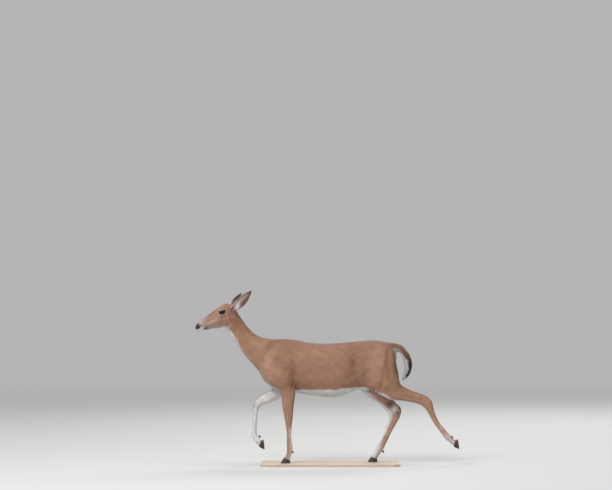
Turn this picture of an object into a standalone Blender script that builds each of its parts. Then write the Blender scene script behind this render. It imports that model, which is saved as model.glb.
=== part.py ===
"""Life-size white-tailed doe, walking, on a low display base.

The doe faces -X, her left side is at -Y and +Z is up. The origin is the centre
of the base's underside. Lengths are metres.

The flesh is modelled whole: lofted bodies and muscles are merged into one
smooth form, which is then parted by thin plane cuts into its named sub-parts.
Ears, eyes, hooves, dewclaws and the nose pad are pieces of their own.
"""

import math
from dataclasses import dataclass

import bmesh
import bpy
import numpy as np
from mathutils import Matrix, Vector

# Driving sizes
BASE_LENGTH = 0.96
BASE_WIDTH = 0.40
BASE_THICKNESS = 0.018
BASE_CORNER = 0.045
GROUND = BASE_THICKNESS
GAP = 0.0003

# How finely the whole form is merged and then simplified
VOXEL = 0.0045
FLESH_TRIANGLES = 4000

# Colours as linear RGB, with roughness
COAT = (0.36, 0.19, 0.115)
WHITE_COAT = (0.66, 0.62, 0.60)
DARK_HORN = (0.022, 0.016, 0.014)
EYE_BROWN = (0.012, 0.007, 0.006)
NOSE_BLACK = (0.015, 0.013, 0.014)
BASE_WOOD = (0.50, 0.42, 0.33)


def clear_scene():
    """Removes what the startup file holds."""
    for obj in list(bpy.data.objects):
        bpy.data.objects.remove(obj)


def finish_material(name, colour, roughness):
    """A plain finish of one colour."""
    material = bpy.data.materials.new(name)
    material.use_nodes = True
    shader = material.node_tree.nodes["Principled BSDF"]
    shader.inputs["Base Color"].default_value = (*colour, 1.0)
    shader.inputs["Roughness"].default_value = roughness
    return material


def new_object(name, mesh_builder, material=None):
    """An object whose mesh is taken from a bmesh, which is then freed."""
    mesh = bpy.data.meshes.new(name)
    mesh_builder.to_mesh(mesh)
    mesh_builder.free()
    if material:
        mesh.materials.append(material)
    obj = bpy.data.objects.new(name, mesh)
    bpy.context.scene.collection.objects.link(obj)
    return obj


def smooth_rows(rows, count):
    """Rows of numbers read as one smooth curve, at count steps of even length.

    The first three numbers of a row are its place. Slopes at each row come
    from its neighbours, so the curve passes through every row.
    """
    table = np.array(rows, float)
    steps = np.linalg.norm(np.diff(table[:, :3], axis=0), axis=1)
    at = np.concatenate([[0.0], np.cumsum(steps)])
    slopes = np.gradient(table, at, axis=0)
    wanted = np.linspace(0.0, at[-1], count)
    index = np.clip(np.searchsorted(at, wanted, side="right") - 1, 0, len(at) - 2)
    span = (at[index + 1] - at[index])[:, None]
    t = ((wanted - at[index]) / span[:, 0])[:, None]
    start, end = table[index], table[index + 1]
    lead, trail = slopes[index] * span, slopes[index + 1] * span
    return (
        start * (2 * t**3 - 3 * t**2 + 1)
        + lead * (t**3 - 2 * t**2 + t)
        + end * (3 * t**2 - 2 * t**3)
        + trail * (t**3 - t**2)
    )


def signed_power(value, power):
    """value to a power, with its sign kept."""
    return math.copysign(abs(value) ** power, value)


def loft(rings):
    """A closed bmesh through rings of points, with its ends capped."""
    shape = bmesh.new()
    layers = [[shape.verts.new(point) for point in ring] for ring in rings]
    count = len(layers[0])
    for low, high in zip(layers, layers[1:]):
        for i in range(count):
            j = (i + 1) % count
            shape.faces.new((low[i], low[j], high[j], high[i]))
    shape.faces.new(list(reversed(layers[0])))
    shape.faces.new(layers[-1])
    bmesh.ops.recalc_face_normals(shape, faces=shape.faces)
    return shape


# The trunk, the neck and the head


@dataclass
class Section:
    """One upright cross-section of the trunk or the head."""

    along: float
    top: float
    bottom: float
    half_width: float
    widest: float
    crown: float
    keel: float

    def row(self):
        """The place along the form, then the sizes."""
        return (self.along, 0.0, 0.5 * (self.top + self.bottom), self.top, self.bottom,
                self.half_width, self.widest, self.crown, self.keel)


# along, top, bottom, half width, height of the widest place as a share,
# and how pointed (under 2) or square (over 2) the upper and lower curves are
TRUNK = [
    Section(-0.484, 0.740, 0.604, 0.036, 0.50, 2.0, 2.0),  # point of the breast
    Section(-0.462, 0.806, 0.568, 0.058, 0.50, 1.9, 1.9),
    Section(-0.428, 0.850, 0.535, 0.077, 0.46, 1.8, 1.8),
    Section(-0.385, 0.866, 0.511, 0.092, 0.44, 1.7, 1.8),  # shoulders
    Section(-0.320, 0.868, 0.502, 0.100, 0.46, 1.6, 1.8),  # withers
    Section(-0.245, 0.862, 0.486, 0.106, 0.46, 1.6, 1.8),  # girth
    Section(-0.170, 0.845, 0.475, 0.114, 0.45, 1.8, 1.9),
    Section(-0.100, 0.835, 0.464, 0.126, 0.43, 1.9, 2.0),
    Section(-0.030, 0.833, 0.458, 0.133, 0.42, 2.0, 2.1),  # last ribs
    Section(0.035, 0.838, 0.453, 0.135, 0.42, 2.0, 2.1),  # deepest belly
    Section(0.105, 0.841, 0.472, 0.129, 0.45, 2.1, 2.1),
    Section(0.175, 0.847, 0.505, 0.118, 0.50, 2.2, 2.0),  # flank
    Section(0.245, 0.854, 0.515, 0.106, 0.55, 2.2, 2.0),  # point of the hip
    Section(0.315, 0.857, 0.525, 0.100, 0.58, 2.1, 2.0),  # croup
    Section(0.385, 0.848, 0.550, 0.090, 0.60, 2.0, 2.0),
    Section(0.434, 0.832, 0.590, 0.068, 0.60, 2.0, 2.0),
    Section(0.462, 0.795, 0.660, 0.040, 0.55, 2.0, 2.0),  # rump
]
TRUNK_RINGS = 60
ROUND = 48


@dataclass
class NeckRing:
    """One slanting ring of the neck, from its crest to its throat."""

    crest_x: float
    crest_z: float
    throat_x: float
    throat_z: float
    half_width: float

    def row(self):
        """The ring's middle, then the reach up to its crest and its width."""
        return (0.5 * (self.crest_x + self.throat_x), 0.0, 0.5 * (self.crest_z + self.throat_z),
                0.5 * (self.crest_x - self.throat_x), 0.5 * (self.crest_z - self.throat_z),
                self.half_width)


NECK = [
    NeckRing(-0.300, 0.815, -0.425, 0.560, 0.080),
    NeckRing(-0.400, 0.864, -0.500, 0.638, 0.084),
    NeckRing(-0.478, 0.879, -0.558, 0.706, 0.070),
    NeckRing(-0.5345, 0.911, -0.605, 0.757, 0.058),
    NeckRing(-0.5765, 0.955, -0.641, 0.810, 0.0525),
    NeckRing(-0.6085, 0.997, -0.672, 0.862, 0.049),
    NeckRing(-0.637, 1.036, -0.708, 0.906, 0.048),
    NeckRing(-0.665, 1.072, -0.737, 0.952, 0.046),
    NeckRing(-0.690, 1.083, -0.748, 0.986, 0.038),
]
NECK_RINGS = 44
NECK_CREST = 1.75

HEAD_AT = Vector((-0.938, 0.0, 0.945))
HEAD_PITCH = math.radians(25)
HEAD_YAW = math.radians(5)
HEAD_PIVOT = Vector((0.28, 0.0, -0.01))

# Along from the nose tip to the back of the skull, in the head's own frame
HEAD = [
    Section(-0.006, -0.002, -0.024, 0.0120, 0.50, 2.0, 2.0),  # front of the lips
    Section(0.000, 0.0095, -0.031, 0.0185, 0.55, 2.2, 2.0),
    Section(0.010, 0.0180, -0.0355, 0.0228, 0.58, 2.3, 2.1),
    Section(0.025, 0.0245, -0.0395, 0.0255, 0.55, 2.2, 2.1),  # nostrils
    Section(0.046, 0.0310, -0.0440, 0.0262, 0.50, 2.1, 2.2),  # corner of the mouth
    Section(0.075, 0.0365, -0.0510, 0.0268, 0.46, 2.1, 2.1),
    Section(0.105, 0.0420, -0.0600, 0.0285, 0.45, 2.1, 1.9),
    Section(0.135, 0.0485, -0.0700, 0.0335, 0.46, 2.1, 1.8),  # cheek teeth
    Section(0.165, 0.0545, -0.0775, 0.0400, 0.50, 2.1, 1.8),
    Section(0.195, 0.0615, -0.0835, 0.0445, 0.56, 2.2, 1.8),  # eyes
    Section(0.222, 0.0665, -0.0865, 0.0450, 0.56, 2.1, 1.8),  # forehead
    Section(0.245, 0.0670, -0.0840, 0.0440, 0.54, 2.0, 1.8),
    Section(0.268, 0.0600, -0.0760, 0.0415, 0.52, 2.0, 1.9),  # poll
    Section(0.292, 0.0430, -0.0580, 0.0350, 0.52, 2.0, 2.0),
    Section(0.310, 0.0150, -0.0300, 0.0200, 0.50, 2.0, 2.0),
]
HEAD_RINGS = 64


def head_matrix():
    """Takes the head's own frame, which starts at the nose tip, to its place."""
    pitch = Matrix.Rotation(-HEAD_PITCH, 4, "Y")
    turn = (
        Matrix.Translation(HEAD_PIVOT)
        @ Matrix.Rotation(HEAD_YAW, 4, "Z")
        @ Matrix.Translation(-HEAD_PIVOT)
    )
    return Matrix.Translation(HEAD_AT) @ pitch @ turn


def section_rings(sections, count):
    """Rings of the trunk or the head, in its own frame."""
    rings = []
    for row in smooth_rows([section.row() for section in sections], count):
        along, top, bottom, half_width, widest, crown, keel = row[[0, 3, 4, 5, 6, 7, 8]]
        middle = bottom + widest * (top - bottom)
        ring = []
        for i in range(ROUND):
            angle = 2 * math.pi * i / ROUND
            side, up = math.sin(angle), math.cos(angle)
            power = 2 / (crown if up > 0 else keel)
            reach = top - middle if up > 0 else middle - bottom
            ring.append(Vector((along, half_width * signed_power(side, power),
                                middle + reach * signed_power(up, power))))
        rings.append(ring)
    return rings


def neck_rings():
    """Rings of the neck, each leaning from its crest to its throat."""
    rings = []
    for x, _, z, lean_x, lean_z, half_width in smooth_rows([n.row() for n in NECK], NECK_RINGS):
        ring = []
        for i in range(ROUND):
            angle = 2 * math.pi * i / ROUND
            side, up = math.sin(angle), math.cos(angle)
            power = 2 / (NECK_CREST if up > 0 else 2.0)
            reach = signed_power(up, power)
            ring.append(Vector((x + lean_x * reach, half_width * signed_power(side, power),
                                z + lean_z * reach)))
        rings.append(ring)
    return rings


def muscle(place, radii, pitch=0.0):
    """An egg-shaped muscle, tipped by pitch about the Y axis."""
    shape = bmesh.new()
    bmesh.ops.create_uvsphere(shape, u_segments=28, v_segments=18, radius=1.0)
    matrix = (
        Matrix.Translation(place)
        @ Matrix.Rotation(pitch, 4, "Y")
        @ Matrix.Diagonal((*radii, 1.0))
    )
    bmesh.ops.transform(shape, matrix=matrix, verts=shape.verts)
    return shape


# The limbs and the tail: x, y, z of the middle, half depth, half width.
# The left side's y is written as positive here and set by the side.
LEFT, RIGHT = -1, 1
LIMB_ROUND = 28


def limb(rows, side, count, square=2.0):
    """A closed tapering limb through rows of middles and half sizes."""
    path = smooth_rows(rows, count)
    path[:, 1] *= side
    slopes = np.gradient(path[:, :3], axis=0)
    rings = []
    for (x, y, z, depth, width), slope in zip(path, slopes):
        along = Vector(slope).normalized()
        across = (Vector((0, 1, 0)) - along * along.y).normalized()
        front = across.cross(along)
        ring = []
        for i in range(LIMB_ROUND):
            angle = 2 * math.pi * i / LIMB_ROUND
            power = 2 / square
            ring.append(
                Vector((x, y, z))
                + front * depth * signed_power(math.cos(angle), power)
                + across * width * signed_power(math.sin(angle), power)
            )
        rings.append(ring)
    return loft(rings)


SHOULDER_BLADE = [
    (-0.335, 0.044, 0.822, 0.034, 0.016),
    (-0.360, 0.062, 0.760, 0.058, 0.026),
    (-0.394, 0.074, 0.700, 0.062, 0.030),
    (-0.424, 0.078, 0.655, 0.048, 0.030),
    (-0.434, 0.076, 0.630, 0.030, 0.022),
]
STANDING_ARM = [
    (-0.430, 0.076, 0.665, 0.030, 0.022),
    (-0.405, 0.082, 0.635, 0.055, 0.036),
    (-0.355, 0.088, 0.590, 0.060, 0.039),
    (-0.305, 0.092, 0.545, 0.056, 0.036),
    (-0.292, 0.093, 0.510, 0.053, 0.033),
    (-0.292, 0.092, 0.476, 0.049, 0.030),
    (-0.293, 0.088, 0.406, 0.0410, 0.025),
    (-0.2915, 0.084, 0.350, 0.0340, 0.0220),
    (-0.2895, 0.080, 0.304, 0.0275, 0.0225),
    (-0.288, 0.078, 0.272, 0.0225, 0.0200),
    (-0.287, 0.076, 0.230, 0.0160, 0.0140),
    (-0.286, 0.073, 0.160, 0.0150, 0.0130),
    (-0.282, 0.071, 0.122, 0.0185, 0.0155),
    (-0.281, 0.070, 0.098, 0.0212, 0.0180),
    (-0.285, 0.069, 0.068, 0.0180, 0.0170),
    (-0.294, 0.068, 0.042, 0.0200, 0.0205),
    (-0.303, 0.068, 0.018, 0.0190, 0.0200),
]
RAISED_ARM = [
    (-0.438, 0.076, 0.672, 0.030, 0.022),
    (-0.424, 0.082, 0.640, 0.052, 0.036),
    (-0.385, 0.090, 0.585, 0.058, 0.039),
    (-0.345, 0.096, 0.535, 0.053, 0.035),
    (-0.338, 0.098, 0.505, 0.048, 0.032),
    (-0.383, 0.096, 0.477, 0.043, 0.029),
    (-0.442, 0.091, 0.446, 0.0355, 0.0245),
    (-0.484, 0.087, 0.425, 0.0290, 0.0220),
    (-0.509, 0.085, 0.406, 0.0270, 0.0225),
    (-0.5215, 0.083, 0.377, 0.0225, 0.0195),
    (-0.5240, 0.081, 0.330, 0.0160, 0.0140),
    (-0.5275, 0.078, 0.262, 0.0150, 0.0130),
    (-0.5320, 0.076, 0.212, 0.0180, 0.0155),
    (-0.5310, 0.075, 0.186, 0.0205, 0.0175),
    (-0.5150, 0.075, 0.160, 0.0175, 0.0170),
    (-0.4960, 0.075, 0.136, 0.0195, 0.0205),
    (-0.4810, 0.075, 0.121, 0.0185, 0.0200),
]
TRAILING_HIND = [
    (0.330, 0.040, 0.815, 0.060, 0.030),
    (0.340, 0.056, 0.770, 0.090, 0.042),
    (0.350, 0.066, 0.715, 0.108, 0.050),
    (0.362, 0.074, 0.655, 0.108, 0.051),
    (0.380, 0.080, 0.600, 0.104, 0.049),
    (0.408, 0.083, 0.548, 0.091, 0.045),
    (0.444, 0.083, 0.508, 0.0710, 0.038),
    (0.490, 0.081, 0.489, 0.0540, 0.031),
    (0.556, 0.078, 0.469, 0.0425, 0.025),
    (0.614, 0.075, 0.452, 0.0380, 0.021),
    (0.658, 0.073, 0.433, 0.0385, 0.0225),
    (0.685, 0.072, 0.400, 0.0335, 0.0235),
    (0.701, 0.071, 0.366, 0.0255, 0.0210),
    (0.719, 0.070, 0.326, 0.0210, 0.0165),
    (0.7385, 0.069, 0.289, 0.0192, 0.0150),
    (0.761, 0.068, 0.257, 0.0185, 0.0145),
    (0.794, 0.067, 0.214, 0.0195, 0.0155),
    (0.817, 0.066, 0.186, 0.0230, 0.0180),
    (0.838, 0.066, 0.166, 0.0190, 0.0170),
    (0.860, 0.066, 0.148, 0.0200, 0.0205),
    (0.876, 0.066, 0.135, 0.0190, 0.0200),
]
PLANTED_HIND = [
    (0.325, 0.040, 0.815, 0.060, 0.030),
    (0.325, 0.056, 0.770, 0.090, 0.042),
    (0.318, 0.066, 0.715, 0.108, 0.050),
    (0.306, 0.074, 0.655, 0.112, 0.051),
    (0.290, 0.080, 0.600, 0.106, 0.049),
    (0.286, 0.083, 0.555, 0.094, 0.045),
    (0.302, 0.083, 0.517, 0.0740, 0.039),
    (0.334, 0.082, 0.483, 0.0580, 0.033),
    (0.370, 0.080, 0.446, 0.0505, 0.028),
    (0.407, 0.077, 0.408, 0.0470, 0.024),
    (0.438, 0.074, 0.375, 0.0460, 0.0230),
    (0.4545, 0.072, 0.345, 0.0455, 0.0235),
    (0.448, 0.070, 0.307, 0.0360, 0.0215),
    (0.437, 0.069, 0.275, 0.0295, 0.0185),
    (0.4165, 0.067, 0.232, 0.0245, 0.0155),
    (0.392, 0.065, 0.1785, 0.0230, 0.0148),
    (0.365, 0.064, 0.123, 0.0235, 0.0160),
    (0.3495, 0.063, 0.092, 0.0250, 0.0185),
    (0.331, 0.063, 0.062, 0.0205, 0.0175),
    (0.3135, 0.063, 0.036, 0.0205, 0.0205),
    (0.3030, 0.063, 0.018, 0.0190, 0.0200),
]
TAIL = [
    (0.425, 0.0, 0.814, 0.022, 0.024),
    (0.462, 0.0, 0.813, 0.022, 0.030),
    (0.493, 0.0, 0.794, 0.0225, 0.034),
    (0.518, 0.0, 0.764, 0.0240, 0.038),
    (0.5355, 0.0, 0.731, 0.0250, 0.040),
    (0.5445, 0.0, 0.696, 0.0250, 0.039),
    (0.5440, 0.0, 0.662, 0.0230, 0.034),
    (0.5360, 0.0, 0.630, 0.0190, 0.026),
    (0.5240, 0.0, 0.604, 0.0125, 0.016),
    (0.5110, 0.0, 0.582, 0.0040, 0.005),
]


def flesh_shapes():
    """Every loft and muscle that the whole form is merged from."""
    trunk = loft(section_rings(TRUNK, TRUNK_RINGS))
    neck = loft(neck_rings())
    head_shapes = [loft(section_rings(HEAD, HEAD_RINGS))]
    to_place = head_matrix()
    for side in (LEFT, RIGHT):
        brow = muscle((0.207, side * 0.0350, 0.0270), (0.030, 0.0165, 0.0175), -0.15)
        cheek = muscle((0.214, side * 0.0245, -0.0380), (0.050, 0.0230, 0.0430), 0.35)
        ear_root = muscle((0.279, side * 0.0300, 0.0240), (0.022, 0.0180, 0.0240), -0.3)
        head_shapes += [brow, cheek, ear_root]
    for shape in head_shapes:
        bmesh.ops.transform(shape, matrix=to_place, verts=shape.verts)
    shapes = [trunk, neck, limb(TAIL, LEFT, 40)] + head_shapes
    for side, arm, hind in ((LEFT, STANDING_ARM, TRAILING_HIND), (RIGHT, RAISED_ARM, PLANTED_HIND)):
        shapes.append(limb(SHOULDER_BLADE, side, 24))
        shapes.append(limb(arm, side, 70))
        shapes.append(limb(hind, side, 80))
    return shapes


def settle(obj):
    """Makes an object's modifiers part of its mesh."""
    graph = bpy.context.evaluated_depsgraph_get()
    mesh = bpy.data.meshes.new_from_object(obj.evaluated_get(graph))
    obj.modifiers.clear()
    obj.data = mesh


def boolean(obj, tool, operation):
    """Cuts, keeps or joins by another object, which is left in place."""
    step = obj.modifiers.new(operation.lower(), "BOOLEAN")
    step.object = tool
    step.operation = operation
    step.solver = "EXACT"
    settle(obj)


def use_tool(obj, tool, operation):
    """A Boolean whose tool is removed afterwards."""
    boolean(obj, tool, operation)
    bpy.data.objects.remove(tool)


def twin(obj):
    """A copy of an object with a mesh of its own."""
    copy = obj.copy()
    copy.data = obj.data.copy()
    bpy.context.scene.collection.objects.link(copy)
    return copy


def share(value, start, end):
    """How far value is from start to end, from 0 to 1."""
    return min(max((value - start) / (end - start), 0.0), 1.0)


def softness(point):
    """How much a point of the flesh is smoothed: most on trunk and neck."""
    x, _, z = point
    head = share(x, -0.66, -0.71)
    tail = share(x, 0.475, 0.505)
    return max(0.06, share(z, 0.50, 0.59) - 0.85 * head - 0.9 * tail)


def plainness(point):
    """How readily a point is simplified: least on the head."""
    x, _, z = point
    return 0.75 + 0.25 * share(z, 0.45, 0.60) - 0.62 * share(x, -0.66, -0.71)


def merged_flesh():
    """The whole form in one closed smooth mesh, from breast to tail."""
    whole = bmesh.new()
    for shape in flesh_shapes():
        mesh = bpy.data.meshes.new("shape")
        shape.to_mesh(mesh)
        shape.free()
        whole.from_mesh(mesh)
        bpy.data.meshes.remove(mesh)
    bmesh.ops.translate(whole, vec=(0, 0, GROUND), verts=whole.verts)
    flesh = new_object("flesh", whole)
    remesh = flesh.modifiers.new("merge", "REMESH")
    remesh.mode = "VOXEL"
    remesh.voxel_size = VOXEL
    settle(flesh)
    for name, weight in (("soft", softness), ("plain", plainness)):
        group = flesh.vertex_groups.new(name=name)
        for vertex in flesh.data.vertices:
            group.add([vertex.index], weight(vertex.co), "REPLACE")
    smooth = flesh.modifiers.new("smooth", "SMOOTH")
    smooth.vertex_group = "soft"
    smooth.factor = 0.6
    smooth.iterations = 22
    simplify = flesh.modifiers.new("simplify", "DECIMATE")
    simplify.ratio = FLESH_TRIANGLES / (2 * len(flesh.data.polygons))
    simplify.vertex_group = "plain"
    simplify.vertex_group_factor = 0.01
    settle(flesh)
    return flesh


# Parting the flesh


def facing(place, normal):
    """A frame at place whose Z runs along normal and whose Y stays level."""
    z_axis = Vector(normal).normalized()
    x_axis = Vector((0, 1, 0)).cross(z_axis).normalized()
    y_axis = z_axis.cross(x_axis)
    turn = Matrix((x_axis, y_axis, z_axis)).transposed().to_4x4()
    return Matrix.Translation(place) @ turn


def raised(x, y, z):
    """A point given above the floor that the hooves stand on."""
    return Vector((x, y, z + GROUND))


@dataclass
class Cut:
    """A thin plane cut. What lies beyond it, within bounds, becomes a node."""

    name: str
    source: str
    place: Vector
    normal: tuple
    low: tuple
    high: tuple


CUTS = [
    Cut("head", "trunk", raised(-0.677, 0, 0.997), (-0.955, 0, 0.296),
        (-1.10, -0.15, 0.85), (-0.55, 0.15, 1.30)),
    Cut("neck", "trunk", raised(-0.476, 0, 0.767), (-0.924, 0, 0.382),
        (-1.00, -0.15, 0.60), (-0.35, 0.15, 1.20)),
    Cut("tail", "trunk", raised(0.476, 0, 0.715), (1, 0, 0),
        (0.40, -0.0455, 0.594), (0.64, 0.0455, 0.90)),
    Cut("hind_left_upper", "trunk", raised(0.21, -0.11, 0.525), (0.35, -0.48, -0.80),
        (0.15, -0.30, 0.00), (1.00, -0.008, 0.80)),
    Cut("hind_right_upper", "trunk", raised(0.21, 0.11, 0.525), (0.35, 0.48, -0.80),
        (0.15, 0.008, 0.00), (0.60, 0.30, 0.80)),
    Cut("fore_left_upper", "trunk", raised(-0.30, -0.0925, 0.525), (0, -0.62, -0.78),
        (-0.44, -0.30, 0.00), (-0.20, -0.008, 0.66)),
    Cut("fore_right_upper", "trunk", raised(-0.42, 0.0925, 0.525), (0, 0.62, -0.78),
        (-0.66, 0.008, 0.00), (-0.22, 0.30, 0.66)),
    Cut("fore_left_cannon", "fore_left_upper", raised(-0.2885, -0.078, 0.255), (0, 0, -1),
        (-0.40, -0.20, -0.05), (-0.20, 0.00, 0.40)),
    Cut("fore_right_cannon", "fore_right_upper", raised(-0.523, 0.081, 0.350), (0, 0, -1),
        (-0.66, 0.00, 0.05), (-0.40, 0.20, 0.45)),
    Cut("hind_left_cannon", "hind_left_upper", raised(0.710, -0.071, 0.343), (0.42, 0, -0.91),
        (0.64, -0.20, 0.05), (1.00, 0.00, 0.40)),
    Cut("hind_right_cannon", "hind_right_upper", raised(0.4285, 0.068, 0.256), (-0.42, 0, -0.91),
        (0.22, 0.00, -0.05), (0.50, 0.20, 0.34)),
    Cut("fore_left_pastern", "fore_left_cannon", raised(-0.283, -0.071, 0.124), (0, 0, -1),
        (-0.40, -0.20, -0.05), (-0.20, 0.00, 0.20)),
    Cut("fore_right_pastern", "fore_right_cannon", raised(-0.532, 0.075, 0.212), (-0.05, 0, -1),
        (-0.66, 0.00, 0.05), (-0.40, 0.20, 0.30)),
    Cut("hind_left_pastern", "hind_left_cannon", raised(0.799, -0.067, 0.207), (0.74, 0, -0.67),
        (0.74, -0.20, 0.05), (1.00, 0.00, 0.30)),
    Cut("hind_right_pastern", "hind_right_cannon", raised(0.362, 0.064, 0.118), (-0.42, 0, -0.91),
        (0.22, 0.00, -0.05), (0.46, 0.20, 0.20)),
]


def cutter(cut, gap):
    """The block beyond a cut's plane, which gap moves back and widens."""
    low = np.array(cut.low) - gap
    high = np.array(cut.high) + gap
    shape = bmesh.new()
    bmesh.ops.create_cube(shape, size=1.0)
    bmesh.ops.scale(shape, vec=high - low, verts=shape.verts)
    bmesh.ops.translate(shape, vec=0.5 * (high + low), verts=shape.verts)
    normal = Vector(cut.normal).normalized()
    place = cut.place - normal * gap
    parts = [*shape.verts, *shape.edges, *shape.faces]
    bmesh.ops.bisect_plane(shape, geom=parts, plane_co=place, plane_no=normal, clear_inner=True)
    bmesh.ops.holes_fill(shape, edges=shape.edges)
    bmesh.ops.recalc_face_normals(shape, faces=shape.faces)
    return new_object("cutter", shape)


def part_flesh(flesh):
    """Every node of the flesh, by name, parted by the cuts in order."""
    nodes = {"trunk": flesh}
    for cut in CUTS:
        source = nodes[cut.source]
        piece = twin(source)
        use_tool(piece, cutter(cut, 0.0), "INTERSECT")
        use_tool(source, cutter(cut, GAP), "DIFFERENCE")
        nodes[cut.name] = piece
    return nodes


# The feet. A foot's frame has X from heel to toe and Z up from its sole.


@dataclass
class Foot:
    """Where a foot stands, how it is tipped, and where its dewclaws grow."""

    name: str
    sole: Vector
    toe: tuple
    dewclaws: Vector
    dewclaw_along: tuple

    def matrix(self):
        """Takes the foot's own frame to its place."""
        x_axis = Vector((self.toe[0], 0, self.toe[1])).normalized()
        y_axis = Vector((0, -1, 0))
        z_axis = x_axis.cross(y_axis)
        turn = Matrix((x_axis, y_axis, z_axis)).transposed().to_4x4()
        return Matrix.Translation(self.sole) @ turn


FEET = [
    Foot("fore_left", raised(-0.310, -0.068, GAP), (-1, 0), raised(-0.2615, -0.069, 0.080),
         (0.40, -0.92)),
    Foot("fore_right", raised(-0.4615, 0.075, 0.1205), (0.08, -0.997),
         raised(-0.4955, 0.075, 0.1785), (0.84, -0.54)),
    Foot("hind_left", raised(0.897, -0.066, 0.133), (0.15, -0.989),
         raised(0.8480, -0.066, 0.1840), (0.86, -0.50)),
    Foot("hind_right", raised(0.301, 0.063, GAP), (-1, 0), raised(0.3730, 0.063, 0.074),
         (0.36, -0.93)),
]
CORONET_FRONT = (0.012, 0.0370)
CORONET_BACK = (-0.030, 0.0200)
CLAW_HALF_LENGTH = 0.0335
CLAW_HALF_WIDTH = 0.0113
CLAW_OFFSET = 0.0117
CLAW_ROUND = 12
CLAW_LAYERS = 4


def coronet_height(x):
    """Height of the hoof's sloping upper edge at x, in the foot's frame."""
    (x0, z0), (x1, z1) = CORONET_BACK, CORONET_FRONT
    return z0 + (z1 - z0) * (x - x0) / (x1 - x0)


def claw(foot, side):
    """One claw of a cloven hoof: pointed at the toe, flat under the sole."""
    rings = []
    for layer in range(CLAW_LAYERS):
        t = layer / (CLAW_LAYERS - 1)
        ring = []
        for i in range(CLAW_ROUND):
            angle = 2 * math.pi * i / CLAW_ROUND
            along, out = math.cos(angle), math.sin(angle)
            taper = 1.0 - 0.42 * max(along, 0.0) ** 1.5
            width = CLAW_HALF_WIDTH * (1.0 if out * side > 0 else 0.86)
            sole_x = CLAW_HALF_LENGTH * along + 0.002
            top_x = -0.009 + 0.021 * along
            x = sole_x + (top_x - sole_x) * t
            y = side * CLAW_OFFSET + width * taper * signed_power(out, 0.8) * (1.0 - 0.10 * t)
            bulge = 0.0015 * math.sin(math.pi * t)
            z = (coronet_height(top_x) - GAP) * t
            ring.append(Vector((x + bulge * along, y, z)))
        rings.append(ring)
    shape = loft(rings)
    bmesh.ops.transform(shape, matrix=foot.matrix(), verts=shape.verts)
    return shape


def dewclaw(foot, side, grow=0.0):
    """A small horn cone behind the fetlock, set a little outwards."""
    shape = bmesh.new()
    bmesh.ops.create_uvsphere(shape, u_segments=8, v_segments=5, radius=1.0)
    for vertex in shape.verts:
        if vertex.co.z > 0:
            vertex.co.z *= 1.25
    along = Vector((foot.dewclaw_along[0], 0.22 * side, foot.dewclaw_along[1]))
    place = foot.dewclaws + Vector((0, 0.0115 * side, 0))
    size = Matrix.Diagonal((0.0068 + grow, 0.0058 + grow, 0.0105 + grow, 1.0))
    bmesh.ops.transform(shape, matrix=facing(place, along) @ size, verts=shape.verts)
    return shape


def add_feet(nodes):
    """Trims each pastern at its coronet and adds its claws and dewclaws."""
    for foot in FEET:
        pastern = nodes[foot.name + "_pastern"]
        matrix = foot.matrix()
        back = Vector((CORONET_BACK[0], 0, CORONET_BACK[1]))
        front = Vector((CORONET_FRONT[0], 0, CORONET_FRONT[1]))
        slope = (front - back).normalized()
        down = Vector((slope.z, 0, -slope.x))
        turned = matrix.to_3x3()
        middle = matrix @ (0.5 * (back + front))
        low, high = (middle + Vector((s, s, s)) for s in (-0.12, 0.12))
        ending = Cut("", "", middle, turned @ down, low, high)
        use_tool(pastern, cutter(ending, 0.0), "DIFFERENCE")
        for side, word in ((-1, "left"), (1, "right")):
            name = f"hoof_{foot.name}_{word}"
            claw_side = -side
            nodes[name] = new_object(name, claw(foot, claw_side))
            name = f"dewclaw_{foot.name}_{word}"
            nodes[name] = new_object(name, dewclaw(foot, side))
            socket = new_object("socket", dewclaw(foot, side, GAP))
            use_tool(pastern, socket, "DIFFERENCE")


# Ears, eyes, nose and base


@dataclass
class Ear:
    """A cupped ear: its base and tip, where it opens and how far it sags."""

    name: str
    root: Vector
    tip: Vector
    opens: tuple
    sag: float
    breadth: float


EARS = [
    Ear("ear_left", raised(-0.684, -0.038, 1.066), raised(-0.5470, -0.105, 1.204),
        (-0.42, -0.90, -0.05), 0.011, 0.97),
    Ear("ear_right", raised(-0.698, 0.034, 1.070), raised(-0.6170, 0.125, 1.184),
        (-0.85, 0.02, 0.40), 0.006, 0.95),
]
# share of the length, unrolled width, half angle of the cup in degrees
EAR_RINGS = [
    (0.00, 0.078, 150.0),
    (0.10, 0.084, 140.0),
    (0.20, 0.091, 116.0),
    (0.31, 0.096, 95.0),
    (0.43, 0.097, 80.0),
    (0.56, 0.092, 68.0),
    (0.69, 0.078, 60.0),
    (0.81, 0.056, 54.0),
    (0.91, 0.031, 50.0),
    (0.985, 0.012, 48.0),
]
EAR_WALL = 0.0042
EAR_ACROSS = 9


def ear_shape(ear):
    """A closed shell: an outer arc and an inner arc at each ring."""
    along = (ear.tip - ear.root).normalized()
    opens = Vector(ear.opens)
    opens = (opens - along * opens.dot(along)).normalized()
    across = along.cross(opens)
    length = (ear.tip - ear.root).length
    rings = []
    for part, width, half_angle in EAR_RINGS:
        half = math.radians(half_angle)
        radius = ear.breadth * width / (2 * half)
        wall = min(EAR_WALL, 0.35 * width)
        middle = ear.root + along * length * part + opens * radius
        middle.z -= ear.sag * math.sin(math.pi * part)
        ring = []
        for outer in (True, False):
            reach = radius if outer else max(radius - wall, 0.25 * radius)
            for i in range(EAR_ACROSS):
                turn = half * (2 * i / (EAR_ACROSS - 1) - 1)
                turn = turn if outer else -turn
                ring.append(middle + reach * (math.sin(turn) * across - math.cos(turn) * opens))
        rings.append(ring)
    return loft(rings)


EYE_PLACE = (0.2085, 0.0355, 0.0195)
EYE_RADIUS = 0.0180
LID = 0.0022


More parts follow.
